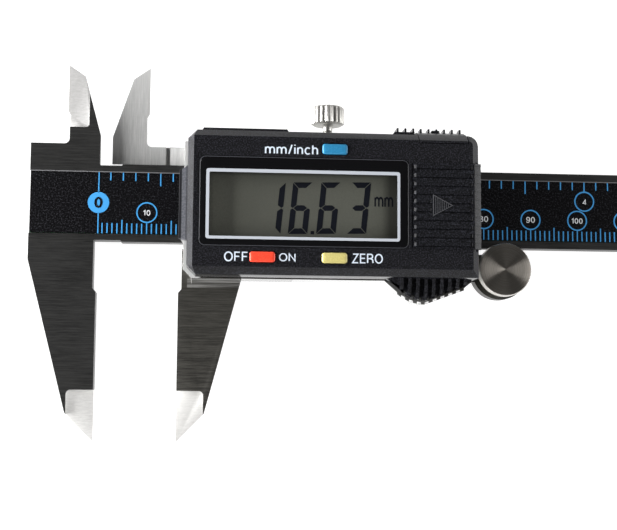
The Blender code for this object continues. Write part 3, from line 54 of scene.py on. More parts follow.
def inFrame(points):
    return np.asarray(points, float) * mm + datum


print("stage: datum at", np.round(datum, 5))

# Camera and studio

view = {
    "place": (22.5, -37.22, 252.9),  # mm, the photograph's viewpoint
    "across": (0.9964, 0.0072, 0.0842),
    "up": (-0.0156, 0.9949, 0.0993),
    "lens": 70.81,
}


def makeCamera():
    # the three axes of the camera, squared up against its line of sight
    across = Vector(view["across"]).normalized()
    up = Vector(view["up"])
    up = (up - across * up.dot(across)).normalized()
    back = across.cross(up)
    data = shape.cameras.new("photoCamera")
    data.sensor_width = 36
    data.lens = view["lens"]
    data.clip_start = 0.005
    data.clip_end = 20
    camera = shape.objects.new("photoCamera", data)
    turn = Matrix((across, up, back)).transposed().to_4x4()
    camera.matrix_world = Matrix.Translation(Vector(inFrame(view["place"]))) @ turn
    bpy.context.scene.collection.objects.link(camera)
    bpy.context.scene.camera = camera


makeCamera()

studio = {
    "horizon": 0.50,  # the room's light, soft and low, fading towards a dark ceiling
    "ceiling": 0.04,
    "fade": (0.35, 0.92),  # how steeply a ray looks up where that begins and ends
    "floor": 0.30,  # the floor's own grey
    "glow": 0.92,  # what it adds for the camera and in reflections, where 1 is white
    "left": (10.5, (-380, 0, 90), (460, 160)),  # power in W, place and size in mm
    "right": (2.5, (520, 10, 170), (320, 280)),
    "back": (0.08, (60, 470, 330), (520, 260)),
    "front": (0.55, (60, -520, 300), (520, 260)),
    "aim": (60, 0, 5),
}


def softbox(name, power, place, size):
    data = shape.lights.new(name, "AREA")
    data.shape = "RECTANGLE"
    data.size = size[0] * mm
    data.size_y = size[1] * mm
    data.energy = power
    lamp = shape.objects.new(name, data)
    away = Vector(place) - Vector(studio["aim"])
    turn = away.to_track_quat("Z", "Y").to_matrix().to_4x4()
    lamp.matrix_world = Matrix.Translation(Vector(inFrame(place))) @ turn
    bpy.context.scene.collection.objects.link(lamp)


for side in ("left", "right", "back", "front"):
    softbox(side + "Softbox", *studio[side])

print("stage: camera and softboxes")

# Materials: helpers


class Paint:
    # One material and its node tree, with Object coordinates turned to datum millimetres.
    def __init__(self, name, colour, roughness, metallic=0.0):
        self.material = shape.materials.new(name)
        self.material.use_nodes = True
        self.tree = self.material.node_tree
        self.shader = self.tree.nodes["Principled BSDF"]
        self.set("Base Color", (*colour, 1))
        self.set("Roughness", roughness)
        self.set("Metallic", metallic)
        coordinates = self.node("ShaderNodeTexCoord").outputs["Object"]
        self.place = self.mapped(coordinates, tuple(-datum / mm), (1 / mm,) * 3)

    def node(self, kind, **values):
        made = self.tree.nodes.new(kind)
        for key, value in values.items():
            setattr(made, key, value)
        return made

    def join(self, source, target):
        # a link from another node, or a plain number or colour on the socket itself
        if isinstance(source, (int, float, tuple)):
            target.default_value = source
        else:
            self.tree.links.new(source, target)

    def set(self, socket, source):
        self.join(source, self.shader.inputs[socket])

    def mapped(self, vector, location, scale):
        made = self.node("ShaderNodeMapping")
        made.inputs["Location"].default_value = location
        made.inputs["Scale"].default_value = scale
        self.join(vector, made.inputs["Vector"])
        return made.outputs[0]

    def stretched(self, scale):
        return self.mapped(self.place, (0, 0, 0), scale)

    def calc(self, operation, first, second=0.0):
        made = self.node("ShaderNodeMath", operation=operation)
        self.join(first, made.inputs[0])
        self.join(second, made.inputs[1])
        return made.outputs[0]

    def times(self, first, second):
        return self.calc("MULTIPLY", first, second)

    def largest(self, first, *others):
        for other in others:
            first = self.calc("MAXIMUM", first, other)
        return first

    def reach(self, across, along):
        # the distance from two offsets: the root of the sum of their squares
        return self.calc("SQRT", self.calc("ADD", self.times(across, across), self.times(along, along)))

    def parts(self, vector=None):
        made = self.node("ShaderNodeSeparateXYZ")
        self.join(vector or self.place, made.inputs[0])
        return made.outputs

    def noise(self, scale, stretch=(1, 1, 1), detail=3.0, rough=0.55):
        made = self.node("ShaderNodeTexNoise")
        made.inputs["Scale"].default_value = scale
        made.inputs["Detail"].default_value = detail
        made.inputs["Roughness"].default_value = rough
        self.join(self.stretched(stretch), made.inputs["Vector"])
        return made.outputs[0]

    def fade(self, value, low, high, bottom=0.0, top=1.0):
        # bottom below low, top above high and a straight run between them
        made = self.node("ShaderNodeMapRange")
        sources = {"Value": value, "From Min": low, "From Max": high, "To Min": bottom, "To Max": top}
        for socket, source in sources.items():
            self.join(source, made.inputs[socket])
        return made.outputs[0]

    def blend(self, share, first, second):
        made = self.node("ShaderNodeMix", data_type="RGBA")
        self.join(share, made.inputs[0])
        for socket, colour in ((6, first), (7, second)):
            self.join((*colour, 1) if isinstance(colour, tuple) else colour, made.inputs[socket])
        return made.outputs[2]

    def bump(self, height, distance, strength=1.0):
        made = self.node("ShaderNodeBump")
        made.inputs["Strength"].default_value = strength
        made.inputs["Distance"].default_value = distance * mm
        self.join(height, made.inputs["Height"])
        self.set("Normal", made.outputs[0])

    def boxMask(self, left, low, right, high, radius=0.0, soft=0.05):
        # 1 inside a rectangle with rounded corners seen along Z, from its distance field
        x, y, _ = self.parts()
        across = self.calc("ABSOLUTE", self.calc("SUBTRACT", x, (left + right) / 2))
        along = self.calc("ABSOLUTE", self.calc("SUBTRACT", y, (low + high) / 2))
        across = self.largest(self.calc("SUBTRACT", across, (right - left) / 2 - radius), 0.0)
        along = self.largest(self.calc("SUBTRACT", along, (high - low) / 2 - radius), 0.0)
        return self.fade(self.reach(across, along), radius - soft, radius + soft, 1.0, 0.0)

    def facing(self, axis, low, high):
        # 1 where the surface points along that axis or against it
        normal = self.node("ShaderNodeNewGeometry").outputs["Normal"]
        share = self.calc("ABSOLUTE", self.parts(normal)[axis])
        return self.fade(share, low, high)


def scaled(colour, share):
    return tuple(part * share for part in colour)


# Materials: the caliper's steels

steel = {
    "dark": (0.010, 0.010, 0.010),
    "darkStreak": (0.037, 0.0366, 0.0355),
    "jaw": (0.017, 0.016, 0.014),
    "jawStreak": (0.066, 0.063, 0.0555),
    # side walls: painted pale, standing for their reflection of the pale floor
    "wall": (0.82, 0.82, 0.815),
    # the ground tips: a real ground finish, painted bright as the left lamp's reflection on their slopes
    "tip": (0.74, 0.73, 0.71),
    "tipStreak": (0.90, 0.89, 0.87),
    "upperTip": (0.219, 0.216, 0.212),
    "upperTipStreak": (0.279, 0.275, 0.270),
    "ground": (0.43, 0.424, 0.413),
    "groundStreak": (0.36, 0.355, 0.344),
    # the movable upper jaw: brushed along Y, painted bright for the sheen it catches from the left lamp
    "silver": (0.99, 0.99, 0.98),
    "silverStreak": (0.72, 0.72, 0.715),
    # painted shade of the arm's groove, which has no depth of its own
    "groove": (0.012, 0.011, 0.010),
    # the thumb rest: a painted highlight on its teeth
    "rest": (0.32, 0.32, 0.316),
    # the jaw's root fillet: painted sheen and painted highlight lines
    "root": (0.10, 0.098, 0.093),
    "rootGlint": (0.42, 0.415, 0.40),
    "frontEdge": (0.70, 0.70, 0.69),
    "front": (6.15, 6.27),  # mm, the height at which the frame's front face begins
}

# Where a finish or painted light or shade changes, seen from the front in mm: left, low, right, high, radius,
# softness
area = {
    "fixedTip": (-5.4, -60.0, 3.0, -38.05, 0.9),
    "fixedUpperTip": (-9.0, 15.6, -2.1, 40.0, 0.5),
    "movableTip": (13.0, -60.0, 22.03, -38.15, 0.9),
    "movableUpperJaw": (2.0, 8.1, 17.4, 40.0),
    "armGrooveShade": (13.55, 6.0, 14.5, 14.0, 0.0, 0.02),
    "thumbRest": (58.0, -21.0, 78.5, -15.5),
    "jawRoot": (18.5, -17.1, 40.0, -15.32, 0.0, 0.1),
}

# Brushed grain: the noise's stretch along X, Y and Z, then where its streaks begin and end
grain = {
    "along": ((0.20, 5.0, 5.0), 0.38, 0.64),
    "upright": ((5.0, 0.16, 5.0), 0.38, 0.62),
    "tip": ((0.25, 4.0, 4.0),),
    "upperTip": ((0.5, 4.0, 4.0),),
}


def streaks(paint, stretch, low=0.35, high=0.65):
    fine = paint.noise(1.0, stretch, 5.0, 0.75)
    return paint.fade(fine, low, high)


def beamSteel():
    # charcoal steel brushed along X; the ground tips of its two jaws are painted paler, the lower one bright
    # as a painted reflection of the left lamp on its slopes
    paint = Paint("beamSteel", steel["dark"], 0.42, 0.5)
    brushed = streaks(paint, *grain["along"])
    cloud = paint.noise(0.12, detail=2.0)
    dark = paint.blend(brushed, steel["dark"], steel["darkStreak"])
    dark = paint.blend(paint.fade(cloud, 0.35, 0.7, 0.0, 0.35), dark, steel["darkStreak"])
    # the side walls painted a little paler, a painted reflection of the pale floor
    wall = paint.calc("SUBTRACT", 1.0, paint.facing(2, 0.25, 0.5))
    dark = paint.blend(paint.times(wall, 0.12), dark, steel["wall"])
    tip = paint.blend(streaks(paint, *grain["tip"]), steel["tip"], steel["tipStreak"])
    upperTip = paint.blend(streaks(paint, *grain["upperTip"]), steel["upperTip"], steel["upperTipStreak"])
    low = paint.boxMask(*area["fixedTip"])
    high = paint.boxMask(*area["fixedUpperTip"])
    paint.set("Base Color", paint.blend(high, paint.blend(low, dark, tip), upperTip))
    paint.set("Roughness", paint.fade(paint.largest(low, high), 0, 1, 0.42, 0.55))
    paint.set("Metallic", paint.fade(low, 0, 1, 0.5, 0.15))
    paint.bump(brushed, 0.006, 0.6)
    return paint.material


def sliderSteel():
    # the lower jaw brushed along X and dark, the upper jaw brushed along Y and painted bright
    # for the sheen it catches from the left lamp, a polished edge round the frame's front and painted
    # highlight lines in the jaw's root
    paint = Paint("sliderSteel", steel["dark"], 0.4, 0.5)
    x, y, z = paint.parts()
    front = paint.fade(z, *steel["front"])
    brushed = streaks(paint, *grain["along"])
    upright = streaks(paint, *grain["upright"])
    dark = paint.blend(brushed, steel["jaw"], steel["jawStreak"])
    dark = paint.blend(paint.fade(y, -34.0, -17.0, 0.0, 0.30), dark, steel["jawStreak"])
    # the thumb rest's steel, painted pale as the highlight on its teeth, fading to painted shade towards the
    # right
    rest = paint.times(paint.boxMask(*area["thumbRest"]), front)
    rest = paint.times(rest, paint.fade(x, 62.0, 72.0, 1.0, 0.10))
    dark = paint.blend(rest, dark, steel["rest"])
    # the side walls are painted pale, a painted reflection of the pale floor, apart from those of the arm
    # that holds the wheel
    wall = paint.calc("SUBTRACT", 1.0, paint.facing(2, 0.3, 0.75))
    wall = paint.times(wall, paint.fade(x, 78.0, 77.5, 0.02, 0.95))
    body = paint.blend(wall, dark, steel["wall"])
    # the lower jaw's ground tip, painted bright as the left lamp's reflection on its slopes
    low = paint.boxMask(*area["movableTip"])
    ground = paint.blend(streaks(paint, *grain["tip"]), steel["groundStreak"], steel["ground"])
    body = paint.blend(low, body, ground)
    # the upper jaw painted bright, more so towards its top, for the sheen it catches from the left lamp
    high = paint.boxMask(*area["movableUpperJaw"])
    silver = paint.blend(upright, steel["silverStreak"], steel["silver"])
    silver = paint.blend(paint.fade(y, 18.0, 28.0, 0.0, 0.5), silver, steel["silver"])
    # painted shade where the arm's groove lies
    silver = paint.blend(paint.times(paint.boxMask(*area["armGrooveShade"]), 0.93), silver, steel["groove"])
    body = paint.blend(high, body, silver)
    # the root: a painted sheen along the fillet, with a few painted highlight lines
    lines = paint.noise(1.0, (0.08, 5.5, 5.5), 2.0, 0.6)
    root = paint.times(paint.boxMask(*area["jawRoot"]), paint.fade(z, 6.22, 6.1))
    body = paint.blend(paint.times(root, 0.8), body, steel["root"])
    body = paint.blend(paint.times(root, paint.fade(lines, 0.45, 0.62)), body, steel["rootGlint"])
    # the frame's polished front edge beside the case
    body = paint.blend(paint.times(front, paint.fade(x, 21.3, 20.6)), body, steel["frontEdge"])
    paint.set("Base Color", body)
    pale = paint.fade(paint.largest(low, high), 0, 1, 0.5, 0.15)
    paint.set("Metallic", paint.largest(pale, wall))
    paint.set("Roughness", paint.fade(wall, 0, 1, 0.42, 0.2))
    paint.bump(paint.blend(high, brushed, upright), 0.006, 0.6)
    return paint.material


def brightSteel(name, stretch, level=0.55, roughness=0.28):
    paint = Paint(name, (level,) * 3, roughness, 1.0)
    brushed = streaks(paint, stretch)
    paint.set("Base Color", paint.blend(brushed, (level * 0.8,) * 3, (level * 1.15,) * 3))
    paint.set("Roughness", paint.fade(brushed, 0, 1, roughness * 0.85, roughness * 1.3))
    paint.bump(brushed, 0.003, 0.4)
    return paint.material


# The thumb wheel's sizes in mm, which its turned finish needs too
wheel = {
    "centre": (83.84, -12.72),
    "radius": 5.55,
    "knurls": 108,
    "knurlDepth": 0.17,
    "levels": (5.4, 8.0),
    "roller": 4.42,
    "shaft": 1.5,
}


def turnedSteel():
    # fine rings round the wheel's axis, whose sheen is stretched along each ring
    paint = Paint("turnedSteel", (0.16, 0.145, 0.13), 0.34, 1.0)
    x, y, _ = paint.parts()
    x = paint.calc("SUBTRACT", x, wheel["centre"][0])
    y = paint.calc("SUBTRACT", y, wheel["centre"][1])
    spread = paint.node("ShaderNodeTexNoise", noise_dimensions="1D")
    spread.inputs["Scale"].default_value = 9.0
    spread.inputs["Detail"].default_value = 3.0
    paint.join(paint.reach(x, y), spread.inputs["W"])
    rings = paint.fade(spread.outputs[0], 0.35, 0.65)
    face = paint.blend(rings, (0.22, 0.203, 0.180), (0.34, 0.315, 0.285))
    # the knurled sides painted much paler than the turned face, a painted highlight of the lit rim
    paint.set("Base Color", paint.blend(paint.facing(2, 0.3, 0.8), (0.75, 0.73, 0.69), face))
    tangent = paint.node("ShaderNodeTangent", direction_type="UV_MAP", uv_map="round")
    paint.set("Tangent", tangent.outputs[0])
    paint.set("Anisotropic", 0.95)
    paint.set("Anisotropic Rotation", 0.25)
    paint.bump(rings, 0.004, 0.6)
    return paint.material


def nickel():
    paint = Paint("nickelPlate", (0.50, 0.49, 0.465), 0.36, 1.0)
    mottled = paint.noise(1.4, detail=3.0)
    paint.set("Roughness", paint.fade(mottled, 0.3, 0.7, 0.40, 0.50))
    paint.set("Base Color", paint.blend(mottled, (0.35, 0.343, 0.325), (0.43, 0.422, 0.402)))
    return paint.material


# Materials: plastics, prints and the display


def grainedPlastic(name, colour, speck, roughness=0.5, size=3.0, depth=0.02, shine=0.5):
    # spark eroded mould texture: small pits in the surface and a few paler specks
    paint = Paint(name, colour, roughness)
    paint.set("Specular IOR Level", shine)
    fine = paint.noise(size, detail=3.0, rough=0.7)
    coarse = paint.noise(size * 0.25, detail=2.0)
    tone = paint.blend(paint.fade(fine, 0.50, 0.60), colour, speck)
    paint.set("Base Color", paint.blend(paint.fade(coarse, 0.35, 0.7, 0.0, 0.10), tone, speck))
    # the mould's sides are smoother than its face
    face = paint.facing(2, 0.15, 0.45)
    rough = paint.fade(fine, 0.3, 0.7, roughness * 0.85, roughness * 1.2)
    paint.set("Roughness", paint.times(rough, paint.fade(face, 0, 1, 0.35, 1.0)))
    paint.bump(paint.times(fine, face), depth, 0.7)
    return paint.material


def printInk(name, colour, roughness=0.45, shine=0.5):
    paint = Paint(name, colour, roughness)
    paint.set("Specular IOR Level", shine)
    mottled = paint.noise(6.0, detail=2.0)
    darker = scaled(colour, 0.8)
    paint.set("Base Color", paint.blend(paint.fade(mottled, 0.35, 0.7, 0.0, 0.12), colour, darker))
    paint.set("Roughness", paint.fade(mottled, 0.3, 0.7, roughness * 0.9, roughness * 1.15))
    return paint.material


def lcdFace():
    # olive reflector, painted lighter towards the left to lift the recess's shadow there, with the lens
    # border's shade painted round it
    paint = Paint("lcdFace", (0.08, 0.082, 0.07), 0.4)
    x, y, _ = paint.parts()
    fine = paint.noise(2.2, detail=3.0, rough=0.7)
    # painted light: lighter at the left to offset the shadow of the recess wall
    tone = paint.blend(paint.fade(x, 23.0, 31.5), (0.128, 0.131, 0.108), (0.084, 0.086, 0.072))
    tone = paint.blend(paint.fade(x, 36.0, 56.0), tone, (0.092, 0.0945, 0.078))
    tone = paint.blend(paint.fade(fine, 0.42, 0.58, 0.0, 0.22), tone, (0.058, 0.059, 0.048))
    top = paint.fade(y, 4.7, 5.35, 0.0, 0.60)
    right = paint.fade(x, 57.4, 59.0, 0.0, 0.80)
    left = paint.fade(x, 23.6, 22.9, 0.0, 0.25)
    shade = paint.largest(top, right, left)
    paint.set("Base Color", paint.blend(shade, tone, (0.014, 0.014, 0.011)))
    return paint.material


def glossBlack():
    paint = Paint("glossBlackAcrylic", (0.0035, 0.0035, 0.004), 0.08)
    smear = paint.noise(0.25, (1.0, 0.4, 1.0), 2.0)
    paint.set("Roughness", paint.fade(smear, 0.3, 0.7, 0.05, 0.12))
    return paint.material


def clearPane():
    paint = Paint("clearPane", (0.02, 0.02, 0.02), 0.05)
    paint.set("Alpha", 0.06)
    paint.set("Specular IOR Level", 0.15)
    smear = paint.noise(0.2, detail=2.0)
    paint.set("Roughness", paint.fade(smear, 0.3, 0.7, 0.03, 0.08))
    return paint.material


def labelFilm():
    # matte black film with a sandy grain
    paint = Paint("scaleFilm", (0.006, 0.006, 0.007), 0.65)
    paint.set("Specular IOR Level", 0.06)
    fine = paint.noise(3.0, detail=4.0, rough=0.8)
    tone = paint.blend(paint.fade(fine, 0.52, 0.64), (0.0002, 0.0002, 0.0006), (0.029, 0.029, 0.034))
    paint.set("Base Color", tone)
    paint.bump(fine, 0.02, 0.7)
    return paint.material


def wiperPlastic():
    # pale grey between a darker band along its left side and the painted shade beside the case
    paint = Paint("wiperPlastic", (0.13, 0.135, 0.15), 0.6)
    paint.set("Specular IOR Level", 0.2)
    x, _, _ = paint.parts()
    fine = paint.noise(2.6, detail=3.0, rough=0.7)
    tone = paint.blend(paint.fade(fine, 0.40, 0.60), (0.098, 0.101, 0.115), (0.162, 0.167, 0.187))
    # a dark band at the left, and painted shade beside the case
    darkBands = paint.largest(paint.fade(x, 17.22, 17.02), paint.fade(x, 17.90, 18.02, 0.0, 0.55))
    paint.set("Base Color", paint.blend(darkBands, tone, (0.011, 0.011, 0.014)))
    paint.bump(fine, 0.01, 0.6)
    return paint.material


def circuitBoard():
    paint = Paint("circuitBoard", (0.02, 0.11, 0.045), 0.45)
    tracks = paint.node("ShaderNodeTexBrick")
    paint.join(paint.stretched((1.0, 2.0, 1.0)), tracks.inputs["Vector"])
    tracks.inputs["Scale"].default_value = 0.5
    tracks.inputs["Mortar Size"].default_value = 0.03
    paint.set("Base Color", paint.blend(tracks.outputs["Fac"], (0.018, 0.10, 0.04), (0.05, 0.20, 0.08)))
    return paint.material


def brass():
    paint = Paint("springBrass", (0.62, 0.47, 0.20), 0.32, 1.0)
    brushed = streaks(paint, (0.6, 5.0, 5.0))
    paint.set("Base Color", paint.blend(brushed, (0.55, 0.40, 0.17), (0.68, 0.53, 0.25)))
    return paint.material


# A plastic's values are its colour, its specks' colour, roughness, grain, depth in mm and shine
caseBlack = (0.0003, 0.0003, 0.0008)
caseGrain = (0.45, 3.6, 0.03, 0.22)
buttonGrain = (0.38, 3.0, 0.008)
finishes = {
    "beam": beamSteel(),
    "slider": sliderSteel(),
    "rod": brightSteel("rodSteel", (0.3, 6.0, 6.0)),
    "stop": brightSteel("stopSteel", (6.0, 0.3, 6.0), 0.5),
    "screw": brightSteel("screwSteel", (2.0, 2.0, 2.0), 0.5, 0.22),
    "cell": brightSteel("cellSteel", (1.0, 1.0, 6.0), 0.6, 0.2),
    "turned": turnedSteel(),
    "nickel": nickel(),
    "case": grainedPlastic("casePlastic", caseBlack, (0.0245, 0.0250, 0.0315), *caseGrain),
    "door": grainedPlastic("doorPlastic", caseBlack, (0.0205, 0.0218, 0.0285), *caseGrain),
    "wiper": wiperPlastic(),
    "rubber": grainedPlastic("contactRubber", (0.22, 0.22, 0.23), (0.28, 0.28, 0.29), 0.8),
    "resin": grainedPlastic("chipResin", (0.010, 0.010, 0.011), (0.03, 0.03, 0.03), 0.35),
    "blueButton": grainedPlastic("blueButton", (0.016, 0.172, 0.335), (0.025, 0.212, 0.405), *buttonGrain),
    "redButton": grainedPlastic("redButton", (0.78, 0.052, 0.022), (0.86, 0.074, 0.036), *buttonGrain),
    "yellowButton": grainedPlastic("yellowButton", (0.505, 0.44, 0.15), (0.585, 0.512, 0.19), *buttonGrain),
    "lens": glossBlack(),
    "pane": clearPane(),
    "lcd": lcdFace(),
    "lcdInk": printInk("lcdInk", (0.003, 0.004, 0.008), 0.5, 0.1),
    "silverPrint": printInk("silverPrint", (0.43, 0.455, 0.50), 0.35),
    "letterPrint": printInk("letterPrint", (0.60, 0.67, 0.76), 0.5),
    "scaleBlue": printInk("scaleBlue", (0.040, 0.29, 0.64), 0.5),
    "scaleWhite": printInk("scaleWhite", (0.72, 0.74, 0.76), 0.5),
    # a painted highlight of the lens's cut edge
    "lensRimHighlight": printInk("lensRimHighlight", (0.045, 0.047, 0.055), 0.35),
    "recessEdgeHighlight": printInk("recessEdgeHighlight", (0.145, 0.145, 0.15), 0.4),
    # a painted highlight on the arrow's ridges
    "arrow": printInk("arrowRidgeHighlight", (0.050, 0.051, 0.057), 0.5),
    "film": labelFilm(),
    "board": circuitBoard(),
    "brass": brass(),
}

# The finish of each CAD node
nodesOf = {
    "beam": ["beam"],
    "slider": ["slider_frame"],
    "rod": ["depth_rod"],
    "stop": ["end_stop"],
    "screw": ["rod_rivet", "end_stop_screw_1", "end_stop_screw_2", "gib_screw_left", "gib_screw_right",
              "case_screw_1", "case_screw_2", "case_screw_3", "case_screw_4", "wheel_clip",
              "unit_dome", "power_dome", "zero_dome"],
    "cell": ["battery_cell"],
    "turned": ["thumb_wheel"],
    "nickel": ["lock_screw"],
    "case": ["housing", "port_cover"],
    "door": ["battery_door"],
    "wiper": ["beam_wiper"],
    "lens": ["display_lens"],
    "lcd": ["lcd_panel"],
    "rubber": ["lcd_strip_upper", "lcd_strip_lower"],
    "film": ["scale_label"],
    "board": ["scale_board", "main_board"],
    "resin": ["driver_chip"],
    "brass": ["gib_strip", "battery_contact_negative", "battery_contact_positive", "data_contacts"],
    "blueButton": ["unit_button"],
    "redButton": ["power_button"],
    "yellowButton": ["zero_button"],
}

for finish, nodeNames in nodesOf.items():
    for nodeName in nodeNames:
        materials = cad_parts[nodeName].data.materials
        materials.clear()
        materials.append(finishes[finish])

print("stage: finishes on", sum(map(len, nodesOf.values())), "CAD nodes of", len(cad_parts))

# Surfaces


def gridFaces(rows, columns, wrap=True):
    # quads between neighbours of a grid of points whose columns may close on themselves
    i, j = np.meshgrid(np.arange(rows - 1), np.arange(columns - (0 if wrap else 1)), indexing="ij")
    here = i * columns + j
    beside = i * columns + (j + 1) % columns
    return np.stack([here, beside, beside + columns, here + columns], -1).reshape(-1, 4).tolist()


def loft(rings, closed=True):
    # rings of equally many points carried from one to the next, capped unless they close
    rings = np.asarray(rings, float)
    rows, columns, _ = rings.shape
    faces = gridFaces(rows, columns)
    last = (rows - 1) * columns
    if closed:
        faces += [list(range(columns)), list(range(last, last + columns))]
    return rings.reshape(-1, 3), faces


def band(rings):
    # as loft, but the last ring joins the first, as on a frame or a washer
    rings = np.asarray(rings, float)
    rings = np.concatenate([rings, rings[:1]])
    return loft(rings, closed=False)


def together(*solids):
    points, faces, start = [], [], 0
    for corners, sides in solids:
        points.append(corners)
        faces += [[k + start for k in side] for side in sides]
        start += len(corners)
    return np.concatenate(points), faces


def roundedRing(left, low, right, high, radius, level, steps=6):
    # a rectangle's outline whose corners are arcs: centre + radius * (cos, sin)
    angle = np.linspace(0, math.pi / 2, steps)
    turn = np.concatenate([angle, angle + math.pi / 2, angle + math.pi, angle + 1.5 * math.pi])
    radius = max(radius, 0.01)
    middleX = np.repeat([right - radius, left + radius, left + radius, right - radius], steps)
    middleY = np.repeat([high - radius, high - radius, low + radius, low + radius], steps)
    x = middleX + radius * np.cos(turn)
    y = middleY + radius * np.sin(turn)
    return np.stack([x, y, np.full(turn.shape, level)], -1)


def softPlate(left, low, right, high, radius, bottom, top, edge, dome=0.0):
    # rounded rectangle raised to top, its rim a quarter round of the given edge radius,
    # with rings drawn in further where the face is domed by a parabola
    rings = [roundedRing(left, low, right, high, radius, bottom)]
    for angle in np.linspace(0, math.pi / 2, 6):
        inset = edge * (1 - math.cos(angle))
        rings.append(roundedRing(left + inset, low + inset, right - inset, high - inset,
                                 radius - inset, top - dome - edge * (1 - math.sin(angle))))
    reach = min(right - left, high - low) / 2
    for share in np.linspace(0.15, 0.92, 5) if dome else ():
        inset = edge + (reach - edge) * share
        rings.append(roundedRing(left + inset, low + inset, right - inset, high - inset,
                                 radius - inset, top - dome * (1 - share) ** 2))
    return loft(rings)


def turnedRings(profile, centre, axis, knurls=0, depth=0.0, steps=96, sharp=1.0):
    # profile rows (radius, height, knurl share) spun round the axis; the knurl takes
    # depth * |sin(knurls * angle / 2)| ** sharp off the radius
    steps = max(steps, knurls * 6)
    angle = np.linspace(0, 2 * math.pi, steps, endpoint=False)
    profile = np.asarray(profile, float)
    cut = depth * np.abs(np.sin(knurls * angle / 2)) ** sharp if knurls else np.zeros(steps)
    radius = profile[:, :1] - profile[:, 2:3] * cut[None, :]
    height = np.repeat(profile[:, 1:2], steps, axis=1)
    first = centre[0] + radius * np.cos(angle)
    second = centre[1] + radius * np.sin(angle)
    order = {"Z": (first, second, height), "Y": (first, height, second)}[axis]
    return np.stack(order, -1)


def addPiece(name, solid, paint, body, crease=32, uv=False):
    # the surface merged, turned outwards, shaded by angle and set to ride on its body
    points, faces = solid
    mesh = shape.meshes.new(name)
    mesh.from_pydata(inFrame(points).tolist(), [], faces)
    work = bmesh.new()
    work.from_mesh(mesh)
    bmesh.ops.remove_doubles(work, verts=work.verts, dist=1e-7)
    bmesh.ops.recalc_face_normals(work, faces=work.faces)
    work.to_mesh(mesh)
    work.free()
    mesh.materials.append(finishes[paint])
    mesh.shade_smooth()
    mesh.set_sharp_from_angle(angle=math.radians(crease))
    piece = shape.objects.new(name, mesh)
    bpy.context.scene.collection.objects.link(piece)
    if uv:
        roundUv(mesh)
    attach(piece, body)
    return piece


def roundUv(mesh):
    # u runs with the angle round the wheel's axis and v with the distance from it
    centre = inFrame((*wheel["centre"], 0))
    corners = np.empty(len(mesh.vertices) * 3)
    mesh.vertices.foreach_get("co", corners)
    corners = corners.reshape(-1, 3) - centre
    index = np.empty(len(mesh.loops), int)
    mesh.loops.foreach_get("vertex_index", index)
    angle = np.arctan2(corners[:, 1], corners[:, 0])[index]
    reach = np.hypot(corners[:, 0], corners[:, 1])[index]
    totals = np.empty(len(mesh.polygons), int)
    mesh.polygons.foreach_get("loop_total", totals)
    starts = np.concatenate([[0], np.cumsum(totals)[:-1]])
    first = np.repeat(angle[starts], totals)
    angle = first + (angle - first + math.pi) % (2 * math.pi) - math.pi
    layer = mesh.uv_layers.new(name="round")
    layer.data.foreach_set("uv", np.stack([angle / (2 * math.pi), reach * 100], -1).ravel())


corrected = {
    "caseCorner": (19.5, -13.65, 12.45),  # mm, the front face's left end: x, lower y, upper y
    "restRise": 0.55,  # how far the plastic stops short of the thumb rest's steel
    "restTop": -15.25,
    "restShift": 0.9,  # and how far it is drawn in at the rest's left end
    "wiperRight": (18.36, -7.70, 7.60),
    "wiperLeft": (-7.40, 6.30),
}


def redrawn(nodeName, x, y, z):
    # small corrections of the seen shape, each moving corners within their flat faces
    if nodeName == "housing":
        if z > 14.95 and x < 21.0 and abs(y) > 11.0:
            x, low, high = corrected["caseCorner"]
            y = high if y > 0 else low
        elif z < 9.6 and y < -15.3:
            y = min(y + corrected["restRise"], corrected["restTop"])
            if 58.5 < x < 61.5:
                x = x + corrected["restShift"]
    if nodeName == "beam_wiper":
        if x > 17.3:
            x, low, high = corrected["wiperRight"]
        else:
            low, high = corrected["wiperLeft"]
        y = high if y > 0 else low
    return x, y, z


def bevelled(nodeName, body, slot, paint, width):
    # a merged copy of a CAD solid with its edges rounded, which stands in for it
    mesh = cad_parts[nodeName].data.copy()
    mesh.name = nodeName + "Edged"
    work = bmesh.new()
    work.from_mesh(mesh)
    bmesh.ops.remove_doubles(work, verts=work.verts, dist=2e-6)
    bmesh.ops.dissolve_limit(work, angle_limit=math.radians(1), verts=work.verts, edges=work.edges)
    for vertex in work.verts:
        place = (np.array(vertex.co) - datum) / mm
        vertex.co = inFrame(redrawn(nodeName, *place))
    bmesh.ops.remove_doubles(work, verts=work.verts, dist=2e-6)
    bmesh.ops.recalc_face_normals(work, faces=work.faces)
    work.to_mesh(mesh)
    work.free()
    mesh.materials.clear()
    mesh.materials.append(finishes[paint])
    mesh.shade_smooth()
    mesh.set_sharp_from_angle(angle=math.radians(32))
    piece = shape.objects.new(nodeName + "Edged", mesh)
    bpy.context.scene.collection.objects.link(piece)
    edge = piece.modifiers.new("edge", "BEVEL")
    edge.width = width * mm
    edge.segments = 2
    edge.limit_method = "ANGLE"
    edge.angle_limit = math.radians(32)
    edge.use_clamp_overlap = True
    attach(piece, body)
    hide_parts(nodeName)
    return piece


# Body, slot, finish and the width of the rounded edge in mm
edged = {
    "housing": ("slider", "case_plastic", "case", 0.12),
    "slider_frame": ("slider", "dark_steel", "slider", 0.08),
    "beam": ("beam_body", "dark_steel", "beam", 0.08),
    "port_cover": ("port_cover", "case_plastic", "case", 0.10),
    "beam_wiper": ("slider", "wiper_plastic", "wiper", 0.05),
}

for nodeName, values in edged.items():
    bevelled(nodeName, *values)

trim = {
    "catch": (68.05, 14.7, 69.80, 15.62, 0.25),  # left, low, right, high, corner radius
    "catchLevels": (7.9, 9.9, 0.2),  # back, front, rounded edge
    "flare": [(16.88, -7.30), (17.25, -7.20), (18.28, -8.30), (18.28, -9.2), (17.56, -9.2), (17.56, -8.35)],
    "flareLevels": (5.9, 6.28),
}


